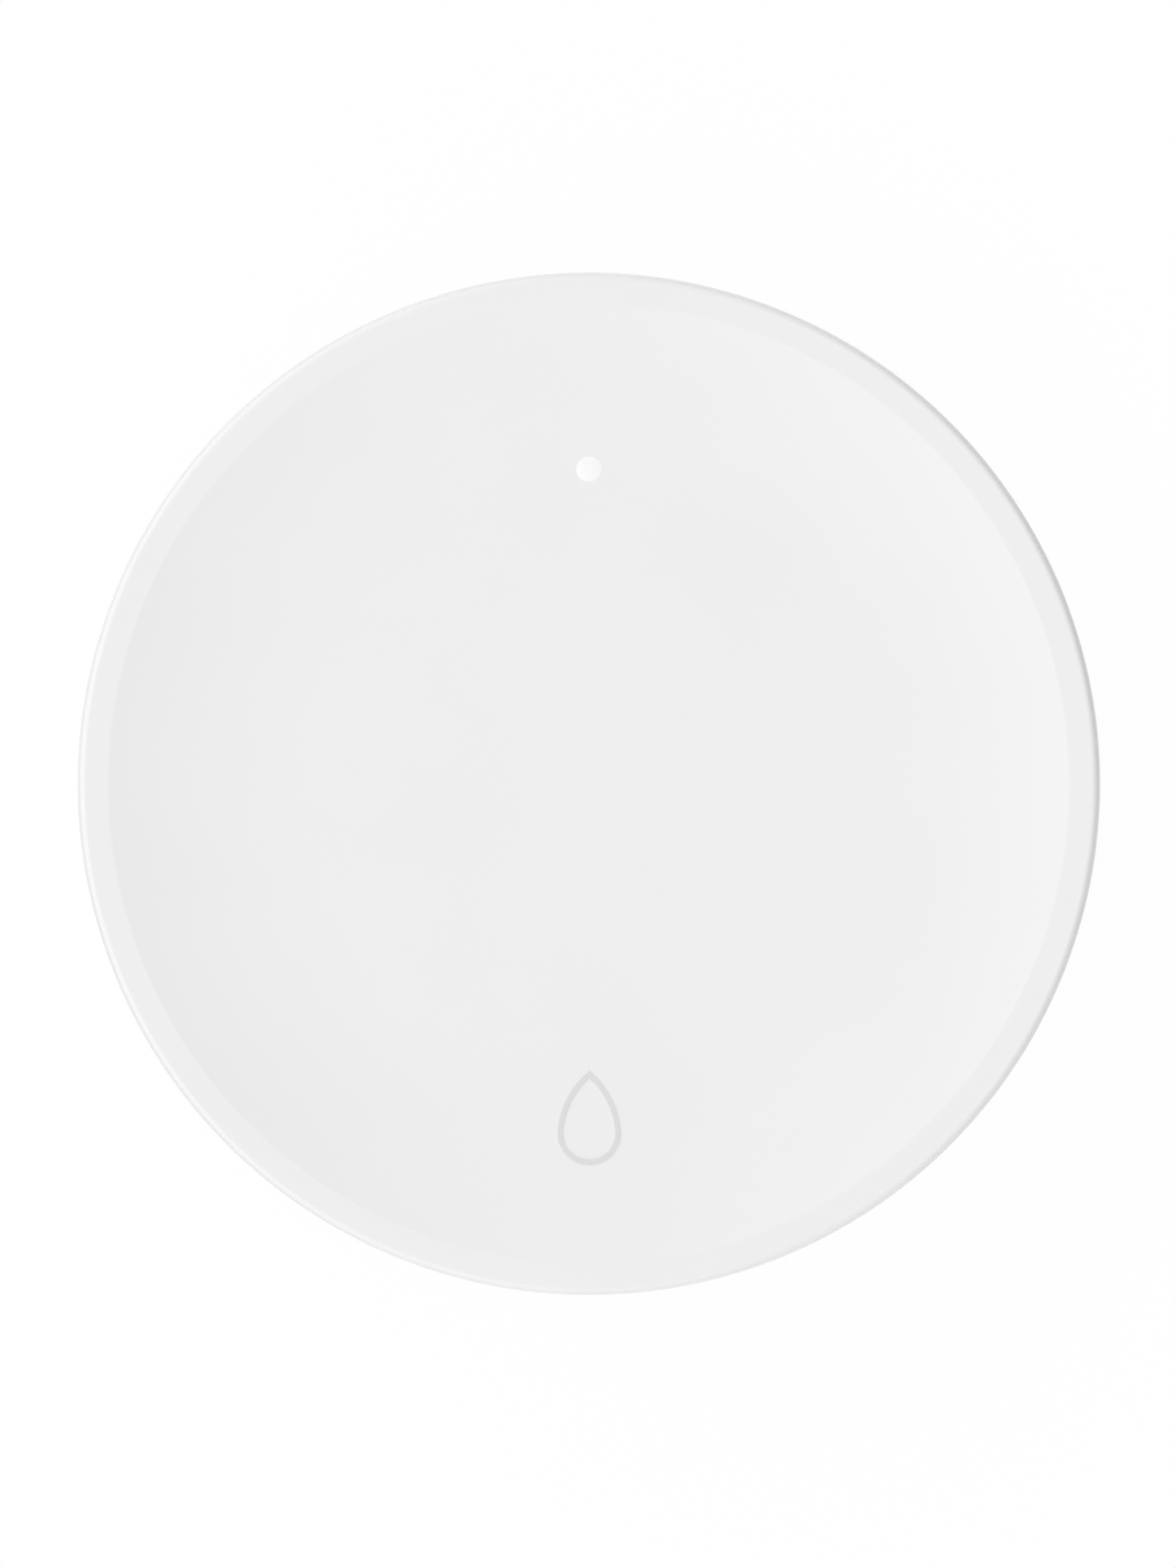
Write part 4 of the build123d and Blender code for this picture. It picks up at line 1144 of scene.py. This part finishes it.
# The pieces inside, each with its finish, its slot, its body and how far its edges are eased
INSIDE = {
    "circuit_board": (board_laminate, "board_laminate", "housing", 0),
    "board_screws": (screw_zinc, "screw_steel", "housing", 0),
    "radio_chip": (filled_nylon, "black_plastic", "housing", 0.04),
    "crystal": (pressed_steel, "sheet_steel", "housing", 0.08),
    "chip_antenna": (package_ceramic, "led_package", "housing", 0.05),
    "chip_components": (filled_nylon, "black_plastic", "housing", 0.04),
    "test_pads": (spring_gilt, "gilt_copper", "housing", 0),
    "status_led": (package_ceramic, "led_package", "housing", 0.03),
    "tact_switch_body": (filled_nylon, "black_plastic", "housing", 0.05),
    "switch_cover_plate": (pressed_steel, "sheet_steel", "housing", 0.03),
    "switch_dome": (pressed_steel, "sheet_steel", "housing", 0),
    "switch_stem": (filled_nylon, "black_plastic", "button", 0.04),
    "cell_holder": (filled_nylon, "black_plastic", "housing", 0.05),
    "positive_contact": (spring_gilt, "gilt_copper", "housing", 0.04),
    "negative_contact": (spring_gilt, "gilt_copper", "housing", 0.04),
    "coin_cell_stack": (filled_nylon, "black_plastic", "housing", 0),
    "cell_pad": (pad_foam, "pad_foam", "battery_cover", 0.06),
}


def make_inside():
    """The board and all on it, the switch, the contacts, the holder, the cell's filling and the foam pad.
    The switch's dome is given a mesh of its own."""
    pieces = {
        node: finished(merged_copy(node, width), material, [node], body)
        for node, (material, slot, body, width) in INSIDE.items()
    }
    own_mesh(pieces["switch_dome"])


def seen_rays(tree):
    """One for the rays that see the background: the camera's, mirrored and refracted ones."""
    path = add(tree, "ShaderNodeLightPath").outputs
    seen = path["Is Camera Ray"]
    for kind in ("Is Glossy Ray", "Is Transmission Ray"):
        seen = add(tree, "ShaderNodeMath", {0: seen, 1: path[kind]}, operation="MAXIMUM").outputs["Value"]
    return seen


def white_paper():
    """Plain white paper. It is seen as background but for a faint shadow, throws an even light up on the
    object, also under it, and is clear from below."""
    material = bpy.data.materials.new("white_paper_sweep")
    tree = blank_tree(material)
    light = add(tree, "ShaderNodeEmission", {"Color": FLOOR_LIGHT}).outputs["Emission"]
    paper = add(tree, "ShaderNodeBsdfDiffuse", {"Color": "#FFFFFF"}).outputs["BSDF"]
    white = add(tree, "ShaderNodeEmission", {"Color": "#FFFFFF"}).outputs["Emission"]
    shadowed = add(tree, "ShaderNodeMixShader", {"Fac": FLOOR_SHADOW_SHARE, 1: white, 2: paper})
    seen = {"Fac": seen_rays(tree), 1: light, 2: shadowed.outputs["Shader"]}
    top = add(tree, "ShaderNodeMixShader", seen).outputs["Shader"]
    below = add(tree, "ShaderNodeNewGeometry").outputs["Backfacing"]
    clear = add(tree, "ShaderNodeBsdfTransparent").outputs["BSDF"]
    sides = add(tree, "ShaderNodeMixShader", {"Fac": below, 1: top, 2: clear})
    add(tree, "ShaderNodeOutputMaterial", {"Surface": sides.outputs["Shader"]})
    return material


def make_floor():
    """The paper floor. It lies a hair under the feet, so that the two faces never mix, and off the middle, so
    that no edge between its triangles shows in the light underneath."""
    bm = bmesh.new()
    bmesh.ops.create_grid(bm, x_segments=1, y_segments=1, size=FLOOR_SIZE / 2)
    bmesh.ops.translate(bm, verts=bm.verts, vec=(*FLOOR_SHIFT, -FLOOR_GAP))
    floor = working("floor", bm)
    floor.data.materials.append(white_paper())


def way_to(azimuth, elevation):
    """The direction at an azimuth and an elevation in degrees."""
    turn, rise = radians(azimuth), radians(elevation)
    return Vector((cos(turn) * cos(rise), sin(turn) * cos(rise), sin(rise)))


def make_world():
    """A white tent, brightest low down and dim under the floor, whose right side is dark: that gives the
    shell its grey edge there."""
    world = bpy.data.worlds.new("white_tent")
    tree = blank_tree(world)
    way = add(tree, "ShaderNodeTexCoord").outputs["Generated"]
    height = add(tree, "ShaderNodeSeparateXYZ", {"Vector": way}).outputs["Z"]
    aim = {0: way, 1: way_to(TENT_AZIMUTH, 0)}
    toward = add(tree, "ShaderNodeVectorMath", aim, operation="DOT_PRODUCT").outputs["Value"]
    sockets = ("Value", "From Min", "From Max", "To Min", "To Max")
    right, left, low, under = [
        add(tree, "ShaderNodeMapRange", dict(zip(sockets, values))).outputs["Result"]
        for values in (
            (toward, -1, 0, TENT_RIGHT, TENT_MIDDLE),
            (toward, 0, 1, 0, TENT_LEFT - TENT_MIDDLE),
            (height, 0, 1, TENT_LOW, 1),
            (height, -TENT_EDGE, 0, TENT_UNDER, 1),
        )
    ]
    level = add(tree, "ShaderNodeMath", {0: right, 1: left}, operation="ADD").outputs["Value"]
    share = add(tree, "ShaderNodeMath", {0: low, 1: under}, operation="MULTIPLY").outputs["Value"]
    strength = add(tree, "ShaderNodeMath", {0: level, 1: share}, operation="MULTIPLY").outputs["Value"]
    tent = add(tree, "ShaderNodeBackground", {"Color": "#FFFFFF", "Strength": strength})
    white = add(tree, "ShaderNodeBackground", {"Color": "#FFFFFF", "Strength": 1.0})
    seen = {"Fac": seen_rays(tree), 1: tent.outputs["Background"], 2: white.outputs["Background"]}
    mix = add(tree, "ShaderNodeMixShader", seen)
    add(tree, "ShaderNodeOutputWorld", {"Surface": mix.outputs["Shader"]})
    bpy.context.scene.world = world


def make_key_light():
    """A large softbox behind the object, a little to the left, as strong as its share of the light asks."""
    light = bpy.data.lights.new("softbox", "AREA")
    light.shape = "DISK"
    light.size = KEY_SIZE
    light.energy = KEY_SHARE * (pi * KEY_DISTANCE) ** 2 / sin(radians(KEY_ELEVATION))
    obj = bpy.data.objects.new("softbox", light)
    way = way_to(KEY_AZIMUTH, KEY_ELEVATION)
    obj.location = way * KEY_DISTANCE
    obj.rotation_euler = way.to_track_quat("Z", "Y").to_euler()
    bpy.context.scene.collection.objects.link(obj)


def make_camera():
    """The photograph's view: straight down on the top, with +Y up."""
    scale = CASE_RADIUS * MM / OUTLINE_RADIUS_PX
    camera = bpy.data.cameras.new("camera")
    camera.type = "ORTHO"
    camera.ortho_scale = PHOTO_HEIGHT_PX * scale
    obj = bpy.data.objects.new("camera", camera)
    x = (PHOTO_WIDTH_PX / 2 - OUTLINE_X_PX) * scale
    y = (OUTLINE_Y_PX - PHOTO_HEIGHT_PX / 2) * scale
    obj.location = (x, y, CAMERA_HEIGHT)
    bpy.context.scene.collection.objects.link(obj)
    bpy.context.scene.camera = obj


make_cap()
make_press_ring()
make_press_pad()
make_drop()
make_lamp()
make_base()
make_lid()
make_seals()
make_probes()
make_cell()
make_inside()
make_floor()
make_world()
make_key_light()
make_camera()

bpy.context.scene.view_settings.view_transform = "Standard"
